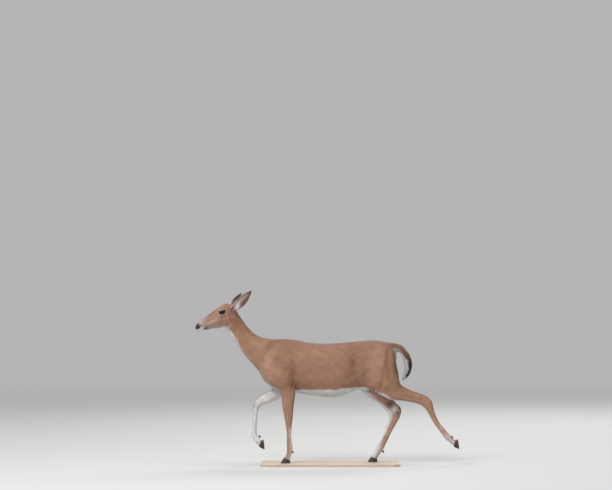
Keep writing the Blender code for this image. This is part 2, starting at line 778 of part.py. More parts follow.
def ball(name, place, radii, pitch=0.0, segments=14):
    """An ellipsoid in the head's frame."""
    shape = bmesh.new()
    bmesh.ops.create_uvsphere(shape, u_segments=segments, v_segments=segments // 2, radius=1.0)
    matrix = (
        Matrix.Translation((0, 0, GROUND))
        @ head_matrix()
        @ Matrix.Translation(place)
        @ Matrix.Rotation(pitch, 4, "Y")
        @ Matrix.Diagonal((*radii, 1.0))
    )
    bmesh.ops.transform(shape, matrix=matrix, verts=shape.verts)
    return new_object(name, shape)


def add_face(nodes):
    """Eyes between their lids, the nose pad and its nostrils."""
    head = nodes["head"]
    along, out, up = EYE_PLACE
    for side, word in ((LEFT, "left"), (RIGHT, "right")):
        place = (along, side * out, up)
        lid = EYE_RADIUS + LID
        use_tool(head, ball("lids", place, (lid, lid, lid)), "UNION")
        opening = (along - 0.001, side * (out + 0.016), up)
        use_tool(head, ball("opening", opening, (0.0215, 0.016, 0.0105), 0.26), "DIFFERENCE")
        socket = EYE_RADIUS + GAP
        use_tool(head, ball("socket", place, (socket, socket, socket)), "DIFFERENCE")
        name = f"eye_{word}"
        nodes[name] = ball(name, place, (EYE_RADIUS, EYE_RADIUS, EYE_RADIUS))
    pad = twin(head)
    place, radii = (0.000, 0.0, -0.003), (0.0175, 0.0205, 0.0150)
    use_tool(pad, ball("pad", place, radii), "INTERSECT")
    radii = tuple(radius + GAP for radius in radii)
    use_tool(head, ball("pad", place, radii), "DIFFERENCE")
    nodes["nose_pad"] = pad
    for side in (LEFT, RIGHT):
        nostril = ball("nostril", (0.0075, side * 0.0215, 0.0005), (0.0062, 0.0062, 0.0034), 0.5, 12)
        boolean(head, nostril, "DIFFERENCE")
        use_tool(pad, nostril, "DIFFERENCE")


def add_ears(nodes):
    """Both ears, trimmed where they meet the head."""
    head = nodes["head"]
    mould = twin(head)
    grow = mould.modifiers.new("grow", "DISPLACE")
    grow.strength = 2 * GAP
    grow.mid_level = 0.0
    settle(mould)
    for ear in EARS:
        shell = new_object(ear.name, ear_shape(ear))
        boolean(shell, mould, "DIFFERENCE")
        nodes[ear.name] = shell
    bpy.data.objects.remove(mould)


def add_base(nodes):
    """A low plate with rounded corners and eased edges."""
    shape = bmesh.new()
    bmesh.ops.create_cube(shape, size=1.0)
    bmesh.ops.scale(shape, vec=(BASE_LENGTH, BASE_WIDTH, BASE_THICKNESS), verts=shape.verts)
    bmesh.ops.translate(shape, vec=(0, 0, 0.5 * BASE_THICKNESS), verts=shape.verts)
    upright = [edge for edge in shape.edges if abs(edge.verts[0].co.z - edge.verts[1].co.z) > 0.001]
    bmesh.ops.bevel(shape, geom=upright, offset=BASE_CORNER, segments=5, affect="EDGES",
                    profile=0.5)
    top = [edge for edge in shape.edges
           if min(vertex.co.z for vertex in edge.verts) > BASE_THICKNESS - 1e-5]
    bmesh.ops.bevel(shape, geom=top, offset=0.0022, segments=2, affect="EDGES", profile=0.5)
    nodes["stand_base"] = new_object("stand_base", shape)


# One finish for each kind of node, by how its name starts
FINISHES = [
    ("eye", EYE_BROWN, 0.12),
    ("nose_pad", NOSE_BLACK, 0.35),
    ("hoof", DARK_HORN, 0.45),
    ("dewclaw", DARK_HORN, 0.5),
    ("stand_base", BASE_WOOD, 0.55),
    ("tail", WHITE_COAT, 0.85),
    ("", COAT, 0.85),
]


def main():
    """Builds the doe and her base."""
    clear_scene()
    nodes = part_flesh(merged_flesh())
    add_feet(nodes)
    add_face(nodes)
    add_ears(nodes)
    add_base(nodes)
    for name, node in nodes.items():
        node.name = name
        node.data.name = name
        start, colour, roughness = next(f for f in FINISHES if name.startswith(f[0]))
        node.data.materials.clear()
        node.data.materials.append(finish_material(f"{name}_finish", colour, roughness))


if __name__ == "__main__":
    main()
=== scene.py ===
"""Finish of the walking white-tailed doe: skin, coat, eyes, nose, hooves and base.

The doe faces -X, her left side is at -Y and +Z is up. The frame's nodes give the
size and place of every piece. One skin is grown over the nodes of flesh, sculpted,
marked, and covered with fine tufts that follow the lie of the coat. Lengths are
metres.
"""

import logging
import math
from collections.abc import Iterator, Sequence
from contextlib import contextmanager
from dataclasses import dataclass, field
from enum import Enum

import bmesh
import bpy
import numpy as np
from bpy.types import Material, Mesh, NodeSocket, NodeTree, Object
from mathutils import Matrix, Vector
from mathutils.bvhtree import BVHTree


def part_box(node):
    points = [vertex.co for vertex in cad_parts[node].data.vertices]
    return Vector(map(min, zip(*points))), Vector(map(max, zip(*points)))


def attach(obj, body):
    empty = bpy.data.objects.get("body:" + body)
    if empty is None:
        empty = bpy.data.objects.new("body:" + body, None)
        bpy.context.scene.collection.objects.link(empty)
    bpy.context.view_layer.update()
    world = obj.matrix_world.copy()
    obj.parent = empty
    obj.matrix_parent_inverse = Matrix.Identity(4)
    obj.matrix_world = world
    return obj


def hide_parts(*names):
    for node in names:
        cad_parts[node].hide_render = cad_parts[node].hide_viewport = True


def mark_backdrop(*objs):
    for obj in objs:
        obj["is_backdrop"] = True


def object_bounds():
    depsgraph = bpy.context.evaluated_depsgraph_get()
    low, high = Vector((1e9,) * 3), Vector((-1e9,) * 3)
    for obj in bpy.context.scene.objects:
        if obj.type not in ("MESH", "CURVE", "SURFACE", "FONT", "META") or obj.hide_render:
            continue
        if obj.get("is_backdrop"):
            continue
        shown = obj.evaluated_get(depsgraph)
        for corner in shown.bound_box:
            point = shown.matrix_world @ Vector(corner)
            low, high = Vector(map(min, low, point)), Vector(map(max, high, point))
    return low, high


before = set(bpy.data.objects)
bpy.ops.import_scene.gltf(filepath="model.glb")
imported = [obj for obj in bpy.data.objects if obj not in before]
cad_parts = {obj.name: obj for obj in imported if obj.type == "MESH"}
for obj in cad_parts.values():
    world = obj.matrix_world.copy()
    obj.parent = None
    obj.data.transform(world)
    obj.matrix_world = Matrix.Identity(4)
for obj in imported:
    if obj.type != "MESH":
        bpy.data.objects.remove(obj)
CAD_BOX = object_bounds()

log = logging.getLogger("doe")

LEGS = ("fore_left", "fore_right", "hind_left", "hind_right")
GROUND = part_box("stand_base")[1].z
BAKE_MAP = "OFBake"
MARKING = "marking"
STRAND = "strand"
Colour = tuple[float, float, float]
Array = np.ndarray
Inputs = dict[str | int, object]


class Side(Enum):
    """The doe's two sides, by the sign of Y."""

    LEFT = -1
    RIGHT = 1


class Zone(Enum):
    """Parts of the body that have a coat of their own kind."""

    TRUNK = 0
    NECK = 1
    HEAD = 2
    EAR = 3
    TAIL = 4
    UPPER_LEG = 5
    LOWER_LEG = 6
    BARE = 7


# Numbers over many points at once


def fade(value: Array, start: float, end: float) -> Array:
    """A smooth step from 0 at the start to 1 at the end, which may be the lower."""
    t = np.clip((value - start) / (end - start), 0.0, 1.0)
    return t * t * (3 - 2 * t)


def unit(vectors: Array) -> Array:
    """Rows scaled to a length of 1."""
    return vectors / np.maximum(np.linalg.norm(vectors, axis=-1, keepdims=True), 1e-12)


def patch(points: Array, centre: tuple, radii: tuple) -> Array:
    """A soft round patch: 1 at its centre, fading to 0 beyond its radii."""
    offset = (points - np.array(centre)) / np.array(radii)
    return np.exp(-(offset**2).sum(1))


def bell(distance: Array, width: float) -> Array:
    """1 at no distance, fading to 0 over a width."""
    return np.exp(-((distance / width) ** 2))


def carried(points: Array, matrix: Matrix) -> Array:
    """Places taken through a matrix."""
    table = np.array(matrix)
    return points @ table[:3, :3].T + table[:3, 3]


def ripple(points: Array, scale: float, seed: int) -> Array:
    """Soft noise made of crossing waves.

    Args:
        points: Places, one a row.
        scale: The waves' usual length.
        seed: Which noise.

    Returns:
        Numbers from about -1 to 1.
    """
    rng = np.random.default_rng(seed)
    total = np.zeros(len(points))
    for _ in range(7):
        way = unit(rng.normal(size=3)) * rng.uniform(0.7, 1.8) * 2 * math.pi / scale
        total += np.sin(points @ way + rng.uniform(0, 2 * math.pi))
    return total / 3.2


def to_polyline(points: Array, line: list[tuple]) -> tuple[Array, Array]:
    """Distances to a line of straight stretches.

    Args:
        points: Places, one a row.
        line: The line's corners in order.

    Returns:
        The distance, and how far along the line the nearest place is, from 0 to 1.
    """
    corners = np.array(line, float)
    lengths = np.linalg.norm(np.diff(corners, axis=0), axis=1)
    starts = np.concatenate([[0.0], np.cumsum(lengths)])
    best = np.full(len(points), np.inf)
    along = np.zeros(len(points))
    for i, (a, b) in enumerate(zip(corners, corners[1:])):
        t = np.clip(((points - a) @ (b - a)) / lengths[i] ** 2, 0.0, 1.0)
        distance = np.linalg.norm(points - a - t[:, None] * (b - a), axis=1)
        nearer = distance < best
        best[nearer] = distance[nearer]
        along[nearer] = (starts[i] + t[nearer] * lengths[i]) / starts[-1]
    return best, along


def beside_line(points: Array, line: list[tuple]) -> tuple[Array, Array, Array]:
    """Where points lie beside a line that keeps to an upright lengthwise plane.

    Args:
        points: Places, one a row.
        line: The line's corners in order.

    Returns:
        How far along it each point is, from 0 to 1, how far off it, and the way that
        counts as off: behind a limb that hangs down, and above one that lies back.
    """
    _, along = to_polyline(points, line)
    corners = np.array(line, float)
    marks = np.concatenate([[0.0], np.cumsum(np.linalg.norm(np.diff(corners, axis=0), axis=1))])
    marks /= marks[-1]
    ways = unit(np.gradient(corners, axis=0))
    nearest = np.stack([np.interp(along, marks, corners[:, i]) for i in range(3)], 1)
    way = np.stack([np.interp(along, marks, ways[:, i]) for i in range(3)], 1)
    off = unit(np.stack([-way[:, 2], np.zeros(len(way)), way[:, 0]], 1))
    return along, ((points - nearest) * off).sum(1), off


def side_normal(start: Array, end: Array) -> tuple[float, float, float]:
    """The way square to a straight line, behind it where it hangs down."""
    way = unit(np.array((end[0] - start[0], 0.0, end[2] - start[2])))
    return (-way[2], 0.0, way[0])


def relax(values: Array, edges: Array, steps: int, strength: float | Array) -> Array:
    """Evens out numbers over a mesh, each towards its neighbours' mean.

    Args:
        values: One row for each vertex.
        edges: Pairs of vertices.
        steps: How many times.
        strength: How far each step goes, as one number or one for each vertex.

    Returns:
        The evened numbers.
    """
    values = values.astype(float).copy()
    flat = values.reshape(len(values), -1)
    count = np.maximum(np.bincount(edges.ravel(), minlength=len(flat)), 1)
    share = np.broadcast_to(np.asarray(strength, float), (len(flat),))
    first, second = edges[:, 0], edges[:, 1]
    for _ in range(steps):
        for column in range(flat.shape[1]):
            now = flat[:, column]
            total = np.bincount(first, now[second], len(now))
            total += np.bincount(second, now[first], len(now))
            flat[:, column] = now + share * (total / count - now)
    return flat.reshape(values.shape)


# Help with objects and meshes


def choose(*objects: Object) -> None:
    """Deselects everything, then selects these objects, the first one active."""
    bpy.ops.object.select_all(action="DESELECT")
    for obj in objects:
        obj.select_set(True)
    bpy.context.view_layer.objects.active = objects[0]


def linked(name: str, data: bpy.types.ID) -> Object:
    """A new object in the scene.

    Args:
        name: Its name.
        data: Its mesh, curve, light or camera.

    Returns:
        The object.
    """
    obj = bpy.data.objects.new(name, data)
    bpy.context.scene.collection.objects.link(obj)
    return obj


def settle(obj: Object) -> None:
    """Applies an object's modifiers in order.

    Args:
        obj: The object.
    """
    choose(obj)
    for modifier in list(obj.modifiers):
        bpy.ops.object.modifier_apply(modifier=modifier.name)


def smooth(obj: Object) -> None:
    """Shades an object smooth."""
    choose(obj)
    bpy.ops.object.shade_smooth()


@contextmanager
def editing(obj: Object, parts: str = "VERT", action: str = "SELECT") -> Iterator[None]:
    """Holds an object in edit mode.

    Args:
        obj: The object.
        parts: What is selected: vertices, edges or faces.
        action: Whether all of its mesh starts selected or deselected.

    Yields:
        Nothing, while the object is in edit mode.
    """
    choose(obj)
    bpy.ops.object.mode_set(mode="EDIT")
    bpy.ops.mesh.select_mode(type=parts)
    bpy.ops.mesh.select_all(action=action)
    yield
    bpy.ops.object.mode_set(mode="OBJECT")


def copy_nodes(nodes: list[str], name: str) -> Object:
    """A merged copy of CAD nodes.

    Args:
        nodes: The nodes to copy.
        name: The new object's name.

    Returns:
        One object whose triangles share their corners.
    """
    copies = []
    for node in nodes:
        copies.append(linked(name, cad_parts[node].data.copy()))
        copies[-1].data.materials.clear()
    choose(*copies)
    if len(copies) > 1:
        bpy.ops.object.join()
    whole = bpy.context.view_layer.objects.active
    with editing(whole):
        bpy.ops.mesh.remove_doubles(threshold=0.00001)
    return whole


def remesh(obj: Object, voxel: float) -> None:
    """Adds a modifier that merges an object's surfaces into one.

    Args:
        obj: The object.
        voxel: The size of the new surface's faces.
    """
    merge = obj.modifiers.new("merge", "REMESH")
    merge.mode = "VOXEL"
    merge.voxel_size = voxel


def read(items: bpy.types.bpy_prop_collection, name: str, width: int, kind: type = float) -> Array:
    """A value of every item of a mesh.

    Args:
        items: The mesh's vertices, edges or the like.
        name: The value's name.
        width: How many numbers it has.
        kind: What kind of number.

    Returns:
        The values, one a row.
    """
    flat = np.empty(len(items) * width, kind)
    items.foreach_get(name, flat)
    return flat.reshape(-1, width)


def places(mesh: Mesh) -> Array:
    """Every vertex's place, one a row."""
    return read(mesh.vertices, "co", 3)


def normals(mesh: Mesh) -> Array:
    """Every vertex's normal, one a row."""
    return read(mesh.vertices, "normal", 3)


def edge_pairs(mesh: Mesh) -> Array:
    """Every edge's two vertices, one pair a row."""
    return read(mesh.edges, "vertices", 2, int)


def put_back(mesh: Mesh, points: Array) -> None:
    """Moves every vertex to its new place."""
    mesh.vertices.foreach_set("co", points.ravel())
    mesh.update()


def mesh_object(name: str, points: Array, faces: Array) -> Object:
    """A new object of faces that all have the same number of corners.

    Args:
        name: The object's name.
        points: Places, one a row.
        faces: Corners' indices, one face a row.

    Returns:
        The object, smooth shaded.
    """
    mesh = bpy.data.meshes.new(name)
    mesh.vertices.add(len(points))
    mesh.loops.add(faces.size)
    mesh.polygons.add(len(faces))
    mesh.vertices.foreach_set("co", points.astype(np.float32).ravel())
    mesh.loops.foreach_set("vertex_index", faces.astype(np.int32).ravel())
    starts = np.arange(0, faces.size, faces.shape[1], dtype=np.int32)
    mesh.polygons.foreach_set("loop_start", starts)
    mesh.update(calc_edges=True)
    mesh.polygons.foreach_set("use_smooth", np.ones(len(faces), bool))
    return linked(name, mesh)


def write_colours(mesh: Mesh, name: str, colours: Array) -> None:
    """Keeps one colour for each vertex.

    Args:
        mesh: The mesh.
        name: What the colours are kept under.
        colours: Linear RGB, one a row.
    """
    layer = mesh.color_attributes.new(name, "FLOAT_COLOR", "POINT")
    rows = np.ones((len(colours), 4), np.float32)
    rows[:, :3] = colours
    layer.data.foreach_set("color", rows.ravel())


def hand_in(obj: Object, slot: str, material: Material, nodes: tuple = ()) -> Object:
    """Dresses a finished piece and fixes it to the frame.

    Args:
        obj: The piece.
        slot: Not used.
        material: The finish.
        nodes: The CAD nodes that it stands for.

    Returns:
        The piece.
    """
    mesh = obj.data
    mesh.materials.append(material)
    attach(obj, "root")
    if nodes:
        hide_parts(*nodes)
    log.info("%s: %d vertices, %d faces", obj.name, len(mesh.vertices), len(mesh.polygons))
    return obj


# Finishes


def add_node(
    tree: NodeTree, kind: str, inputs: Inputs | None = None, **properties: object
) -> bpy.types.Node:
    """Adds a node to a tree.

    Args:
        tree: The tree.
        kind: The node's type.
        inputs: Values or sockets for its inputs, by name or number.
        **properties: Its properties.

    Returns:
        The node.
    """
    node = tree.nodes.new(kind)
    for key, value in properties.items():
        setattr(node, key, value)
    for key, value in (inputs or {}).items():
        if isinstance(value, NodeSocket):
            tree.links.new(value, node.inputs[key])
        else:
            node.inputs[key].default_value = value
    return node


@dataclass
class Shader:
    """One material and the nodes that make its look."""

    name: str
    roughness: float = 0.6
    coat: float = 0.0
    coat_roughness: float = 0.04
    sheen: float = 0.0
    specular: float = 0.5

    def __post_init__(self) -> None:
        """Makes the material with its Principled shader."""
        self.material = bpy.data.materials.new(self.name)
        self.material.use_nodes = True
        self.tree = self.material.node_tree
        self.surface = self.tree.nodes["Principled BSDF"]
        settings = {
            "Roughness": self.roughness, "Coat Weight": self.coat,
            "Coat Roughness": self.coat_roughness, "Sheen Weight": self.sheen,
            "Sheen Roughness": 0.5, "Specular IOR Level": self.specular,
        }
        for name, value in settings.items():
            self.surface.inputs[name].default_value = value

    def add(self, kind: str, inputs: Inputs | None = None, **properties: object) -> bpy.types.Node:
        """Adds a node of this type, with its inputs and properties."""
        return add_node(self.tree, kind, inputs, **properties)

    def marking(self) -> NodeSocket:
        """The coat's own colour at each place."""
        return self.add("ShaderNodeAttribute", attribute_name=MARKING).outputs["Color"]

    def place(
        self, centre: Sequence = (0, 0, 0), turn: Sequence = (0, 0, 0), scale: tuple = (1, 1, 1)
    ) -> NodeSocket:
        """Object coordinates about a centre.

        Args:
            centre: Where the coordinates are 0.
            turn: Euler angles of the pattern.
            scale: How much the pattern is stretched along each axis.

        Returns:
            The coordinates.
        """
        source = self.add("ShaderNodeTexCoord").outputs["Object"]
        inputs = {"Vector": source, "Location": centre, "Rotation": turn, "Scale": scale}
        return self.add("ShaderNodeMapping", inputs, vector_type="TEXTURE").outputs["Vector"]

    def step(self, value: NodeSocket, start: float, end: float) -> NodeSocket:
        """A smooth step from 0 to 1."""
        ends = {"Value": value, "From Min": start, "From Max": end}
        return self.add("ShaderNodeMapRange", ends, interpolation_type="SMOOTHSTEP").outputs[0]

    def ramp(
        self, share: NodeSocket, low: Colour, high: Colour, ends: tuple = (0.0, 1.0)
    ) -> NodeSocket:
        """A colour that changes from one to another.

        Args:
            share: How far the change has gone.
            low: The first colour.
            high: The second.
            ends: The shares at which the change starts and ends.

        Returns:
            The colour.
        """
        node = self.add("ShaderNodeValToRGB", {"Fac": share})
        for stop, colour, position in zip(node.color_ramp.elements, (low, high), ends):
            stop.color, stop.position = (*colour, 1), position
        return node.outputs["Color"]

    def bump(
        self, height: NodeSocket, strength: float, depth: float, invert: bool = False
    ) -> None:
        """Roughens the surface.

        Args:
            height: How high it is.
            strength: How strongly that shows.
            depth: The height of 1, in metres.
            invert: Whether high counts as low.
        """
        inputs = {"Height": height, "Strength": strength, "Distance": depth}
        node = self.add("ShaderNodeBump", inputs, invert=invert)
        self.tree.links.new(node.outputs["Normal"], self.surface.inputs["Normal"])

    def finished(self, colour: NodeSocket) -> Material:
        """Gives the surface its colour, and returns the material."""
        self.tree.links.new(colour, self.surface.inputs["Base Color"])
        return self.material


def hair_grain_group() -> NodeTree:
    """The look of fine hair: a colour broken into strands, and their height.

    Returns:
        The node group, which skin and tufts share.
    """
    tree = bpy.data.node_groups.new("hair grain", "ShaderNodeTree")
    sockets = (
        ("Colour", "INPUT", "NodeSocketColor", (0.4, 0.2, 0.1, 1)),
        ("Strands", "INPUT", "NodeSocketVector", None),
        ("Scale", "INPUT", "NodeSocketFloat", 1.0),
        ("Contrast", "INPUT", "NodeSocketFloat", 0.3),
        ("Colour", "OUTPUT", "NodeSocketColor", None),
        ("Height", "OUTPUT", "NodeSocketFloat", None),
    )
    for name, way, kind, value in sockets:
        socket = tree.interface.new_socket(name, in_out=way, socket_type=kind)
        if value is not None:
            socket.default_value = value
    ends = add_node(tree, "NodeGroupInput").outputs
    fine = {"Vector": ends["Strands"], "Scale": ends["Scale"], "Detail": 3.0, "Roughness": 0.65}
    noise = add_node(tree, "ShaderNodeTexNoise", fine).outputs["Fac"]
    about = {"Value": noise, "From Min": 0.3, "From Max": 0.7, "To Min": -0.5, "To Max": 0.5}
    spread = add_node(tree, "ShaderNodeMapRange", about).outputs["Result"]
    factors = {0: spread, 1: ends["Contrast"], 2: 1.0}
    amount = add_node(tree, "ShaderNodeMath", factors, operation="MULTIPLY_ADD")
    scaled = {0: ends["Colour"], "Scale": amount.outputs["Value"]}
    tint = add_node(tree, "ShaderNodeVectorMath", scaled, operation="SCALE")
    add_node(tree, "NodeGroupOutput", {"Colour": tint.outputs["Vector"], "Height": noise})
    return tree


@dataclass(frozen=True)
class SkinFinish:
    """The marked skin under the coat, with a fine flat nap."""

    nap: float = 900.0
    contrast: float = 0.3
    lean: float = 0.45
    stretch: tuple = (4.0, 1.0, 1.6)
    bump: float = 0.35
    depth: float = 0.0006

    def build(self, grain: NodeTree) -> Material:
        """Makes the material.

        Args:
            grain: The look of fine hair.

        Returns:
            The material.
        """
        shader = Shader("skin", roughness=0.85, sheen=0.05, specular=0.2)
        stretched = shader.place(turn=(0, self.lean, 0), scale=self.stretch)
        inputs = {
            "Colour": shader.marking(),
            "Strands": stretched,
            "Scale": self.nap,
            "Contrast": self.contrast,
        }
        nap = shader.add("ShaderNodeGroup", inputs, node_tree=grain)
        shader.bump(nap.outputs["Height"], self.bump, self.depth)
        return shader.finished(nap.outputs["Colour"])


@dataclass(frozen=True)
class HairFinish:
    """Tufts: the marking's colour, darker at the roots and split into strands."""

    name: str
    root: float = 0.84
    tip: float = 1.05
    contrast: float = 0.24
    roughness: float = 0.62
    sheen: float = 0.06

    def build(self, grain: NodeTree) -> Material:
        """Makes the material.

        Args:
            grain: The look of fine hair.

        Returns:
            The material.
        """
        shader = Shader(self.name, roughness=self.roughness, sheen=self.sheen, specular=0.25)
        strand = shader.add("ShaderNodeAttribute", attribute_name=STRAND).outputs["Vector"]
        inputs = {
            "Colour": shader.marking(),
            "Strands": strand,
            "Scale": 1.0,
            "Contrast": self.contrast,
        }
        split = shader.add("ShaderNodeGroup", inputs, node_tree=grain).outputs["Colour"]
        along = shader.add("ShaderNodeSeparateXYZ", {"Vector": strand}).outputs["Z"]
        shades = {"Value": along, "From Max": 1.0, "To Min": self.root, "To Max": self.tip}
        shade = shader.add("ShaderNodeMapRange", shades).outputs["Result"]
        scaled = {0: split, "Scale": shade}
        tint = shader.add("ShaderNodeVectorMath", scaled, operation="SCALE")
        return shader.finished(tint.outputs["Vector"])


@dataclass(frozen=True)
class EyeFinish:
    """A dark wet eye with a level oval pupil in a brown iris."""

    centre: Vector
    turn: Sequence
    pupil: Colour = (0.0015, 0.0012, 0.0016)
    dark_ray: Colour = (0.01, 0.0045, 0.002)
    light_ray: Colour = (0.03, 0.013, 0.006)
    edge: Colour = (0.012, 0.007, 0.006)
    pupil_size: tuple = (0.006, 0.0034)
    iris_size: tuple = (0.0118, 0.0112)

    def build(self) -> Material:
        """Makes the material.

        Returns:
            The material.
        """
        shader = Shader("eye", roughness=0.25, coat=0.7, coat_roughness=0.03, specular=0.0)
        shader.surface.inputs["Coat IOR"].default_value = 1.376
        place = shader.place(self.centre, self.turn)
        rays = {"Vector": place, "Scale": 700.0, "Detail": 4.0}
        noise = shader.add("ShaderNodeTexNoise", rays).outputs["Fac"]
        iris = shader.ramp(noise, self.dark_ray, self.light_ray)
        past_pupil = shader.step(self.reach(shader, place, self.pupil_size), 0.88, 1.08)
        inputs = {0: past_pupil, 1: (*self.pupil, 1), 2: iris}
        inner = shader.add("ShaderNodeMixRGB", inputs).outputs["Color"]
        past_iris = shader.step(self.reach(shader, place, self.iris_size), 0.82, 1.06)
        inputs = {0: past_iris, 1: inner, 2: (*self.edge, 1)}
        return shader.finished(shader.add("ShaderNodeMixRGB", inputs).outputs["Color"])

    def reach(self, shader: Shader, place: NodeSocket, size: tuple) -> NodeSocket:
        """How far out each place is, as a multiple of an oval.

        Args:
            shader: The eye's shader.
            place: Coordinates about the eye's own axes.
            size: The oval's half length and half height.

        Returns:
            The multiple.
        """
        inputs = {0: place, 1: (1 / size[0], 1 / size[1], 0.0)}
        oval = shader.add("ShaderNodeVectorMath", inputs, operation="MULTIPLY").outputs["Vector"]
        return shader.add("ShaderNodeVectorMath", {0: oval}, operation="LENGTH").outputs["Value"]


@dataclass(frozen=True)
class LeatherFinish:
    """Bare dark skin: a pebbled nose, or the smoother rims of the lids."""

    name: str
    colour: Colour
    pebble: float
    depth: float
    roughness: float
    wet: float

    def build(self) -> Material:
        """Makes the material.

        Returns:
            The material.
        """
        shader = Shader(self.name, self.roughness, coat=self.wet, coat_roughness=0.2)
        inputs = {"Vector": shader.place(), "Scale": self.pebble}
        pebbles = shader.add("ShaderNodeTexVoronoi", inputs).outputs["Distance"]
        pale, dark = (tuple(share * c for c in self.colour) for share in (1.5, 0.5))
        shader.bump(pebbles, 0.7, self.depth, invert=True)
        return shader.finished(shader.ramp(pebbles, pale, dark))


@dataclass(frozen=True)
class HornFinish:
    """Dark hoof horn, ringed by growth and blotched with a paler worn tone."""

    dark: Colour = (0.03, 0.018, 0.014)
    worn: Colour = (0.066, 0.041, 0.033)
    rings: float = 95.0
    blotches: float = 160.0

    def build(self) -> Material:
        """Makes the material.

        Returns:
            The material.
        """
        shader = Shader("hoof horn", roughness=0.42, coat=0.15, coat_roughness=0.3)
        place = shader.place(turn=(0, 0.35, 0))
        bands = {"Vector": place, "Scale": self.rings, "Distortion": 7.0, "Detail": 4.0}
        rings = shader.add("ShaderNodeTexWave", bands, bands_direction="Z").outputs["Fac"]
        spots = {"Vector": place, "Scale": self.blotches, "Detail": 6.0}
        blotches = shader.add("ShaderNodeTexNoise", spots).outputs["Fac"]
        mixed = shader.add("ShaderNodeMath", {0: rings, 1: blotches}, operation="MULTIPLY")
        height = mixed.outputs["Value"]
        shader.bump(height, 0.35, 0.0005)
        return shader.finished(shader.ramp(height, self.dark, self.worn, (0.15, 0.75)))


@dataclass(frozen=True)
class WoodFinish:
    """Pale oiled maple with a long fine grain."""

    light: Colour = (0.6, 0.5, 0.4)
    dark: Colour = (0.44, 0.34, 0.25)
    figure: float = 55.0
    grain: float = 520.0

    def build(self) -> Material:
        """Makes the material.

        Returns:
            The material.
        """
        shader = Shader("base wood", roughness=0.45)
        place = shader.place(scale=(9.0, 1.0, 1.0))
        broad = {"Vector": place, "Scale": self.figure, "Detail": 6.0, "Distortion": 0.6}
        figure = shader.add("ShaderNodeTexNoise", broad).outputs["Fac"]
        fine = {"Vector": place, "Scale": self.grain, "Detail": 3.0}
        grain = shader.add("ShaderNodeTexNoise", fine).outputs["Fac"]
        inputs = {0: grain, 1: 0.35, 2: figure}
        both = shader.add("ShaderNodeMath", inputs, operation="MULTIPLY_ADD").outputs["Value"]
        shader.bump(both, 0.25, 0.0003)
        return shader.finished(shader.ramp(both, self.dark, self.light, (0.4, 0.85)))


# The doe's plan: her head's frame, her limbs and how her hair lies


@dataclass(frozen=True)
class HeadFrame:
    """The head's own axes: back from the nose tip, across, and up."""

    tip: Vector = Vector((-0.938, 0.0, 0.945 + GROUND))
    pitch: float = math.radians(25)
    yaw: float = math.radians(5)
    pivot: Vector = Vector((0.28, 0.0, -0.01))

    def matrix(self) -> Matrix:
        """What takes the head's own frame to the world.

        Returns:
            The matrix.
        """
        turn = (
            Matrix.Translation(self.pivot)
            @ Matrix.Rotation(self.yaw, 4, "Z")
            @ Matrix.Translation(-self.pivot)
        )
        return Matrix.Translation(self.tip) @ Matrix.Rotation(-self.pitch, 4, "Y") @ turn

    def own(self, points: Array) -> Array:
        """World places in the head's own frame."""
        return carried(points, self.matrix().inverted())

    def folded(self, points: Array) -> Array:
        """World places in the head's own frame, with the side counted outwards."""
        own = self.own(points)
        return np.stack([own[:, 0], np.abs(own[:, 1]), own[:, 2]], 1)

    def own_way(self, ways: Array) -> Array:
        """World directions in the head's own frame."""
        return ways @ np.array(self.matrix().to_3x3())

    def world(self, along: float, side: float, up: float) -> Vector:
        """One place of the head's own frame, in the world."""
        return self.matrix() @ Vector((along, side, up))


HEAD = HeadFrame()

# Joints of each limb from the top down: along, out from the middle, height above the soles
JOINTS = {
    "fore_left": [(-0.41, 0.07, 0.72), (-0.43, 0.076, 0.665), (-0.292, 0.093, 0.51),
                  (-0.2895, 0.08, 0.304), (-0.281, 0.07, 0.098), (-0.31, 0.068, 0.0)],
    "fore_right": [(-0.41, 0.07, 0.72), (-0.438, 0.076, 0.672), (-0.338, 0.098, 0.505),
                   (-0.515, 0.085, 0.4), (-0.531, 0.075, 0.186), (-0.461, 0.075, 0.12)],
    "hind_left": [(0.33, 0.04, 0.815), (0.38, 0.08, 0.6), (0.444, 0.083, 0.508),
                  (0.69, 0.072, 0.4), (0.817, 0.066, 0.186), (0.897, 0.066, 0.133)],
    "hind_right": [(0.325, 0.04, 0.815), (0.29, 0.08, 0.6), (0.302, 0.083, 0.517),
                   (0.445, 0.073, 0.345), (0.3495, 0.063, 0.092), (0.301, 0.063, 0.0)],
}
TAIL = ((0.43, 0.814), (0.493, 0.794), (0.5355, 0.731), (0.544, 0.662), (0.511, 0.582))
TAIL_LINE = [(x, 0.0, z + GROUND) for x, z in TAIL]


def side_of(leg: str) -> Side:
    """The side that a leg is on."""
    return Side.LEFT if leg.endswith("left") else Side.RIGHT


def limb_line(leg: str) -> list[tuple]:
    """A limb's joints in the world, from the top down."""
    sign = side_of(leg).value
    return [(x, sign * y, z + GROUND) for x, y, z in JOINTS[leg]]


@dataclass(frozen=True)
class Ear:
    """An ear's node, its root, its tip and where its cup opens."""

    node: str
    root: tuple
    tip: tuple
    opens: tuple

    def place(self, points: Array) -> tuple[Array, Array]:
        """How far along the ear each point is, and how far over it opens.

        Args:
            points: Places, one a row.

        Returns:
            The share of the ear's length, and the offset across its opening.
        """
        root, tip = np.array(self.root), np.array(self.tip)
        axis = unit(tip - root)
        share = (points - root) @ axis / np.linalg.norm(tip - root)
        across = unit(np.cross(axis, np.array(self.opens)))
        return share, (points - root) @ across

    def towards(self) -> Array:
        """The way that the cup opens, square to the ear's length.

        Returns:
            The direction.
        """
        axis = unit(np.array(self.tip) - np.array(self.root))
        opens = np.array(self.opens, float)
        return unit(opens - axis * (opens @ axis))


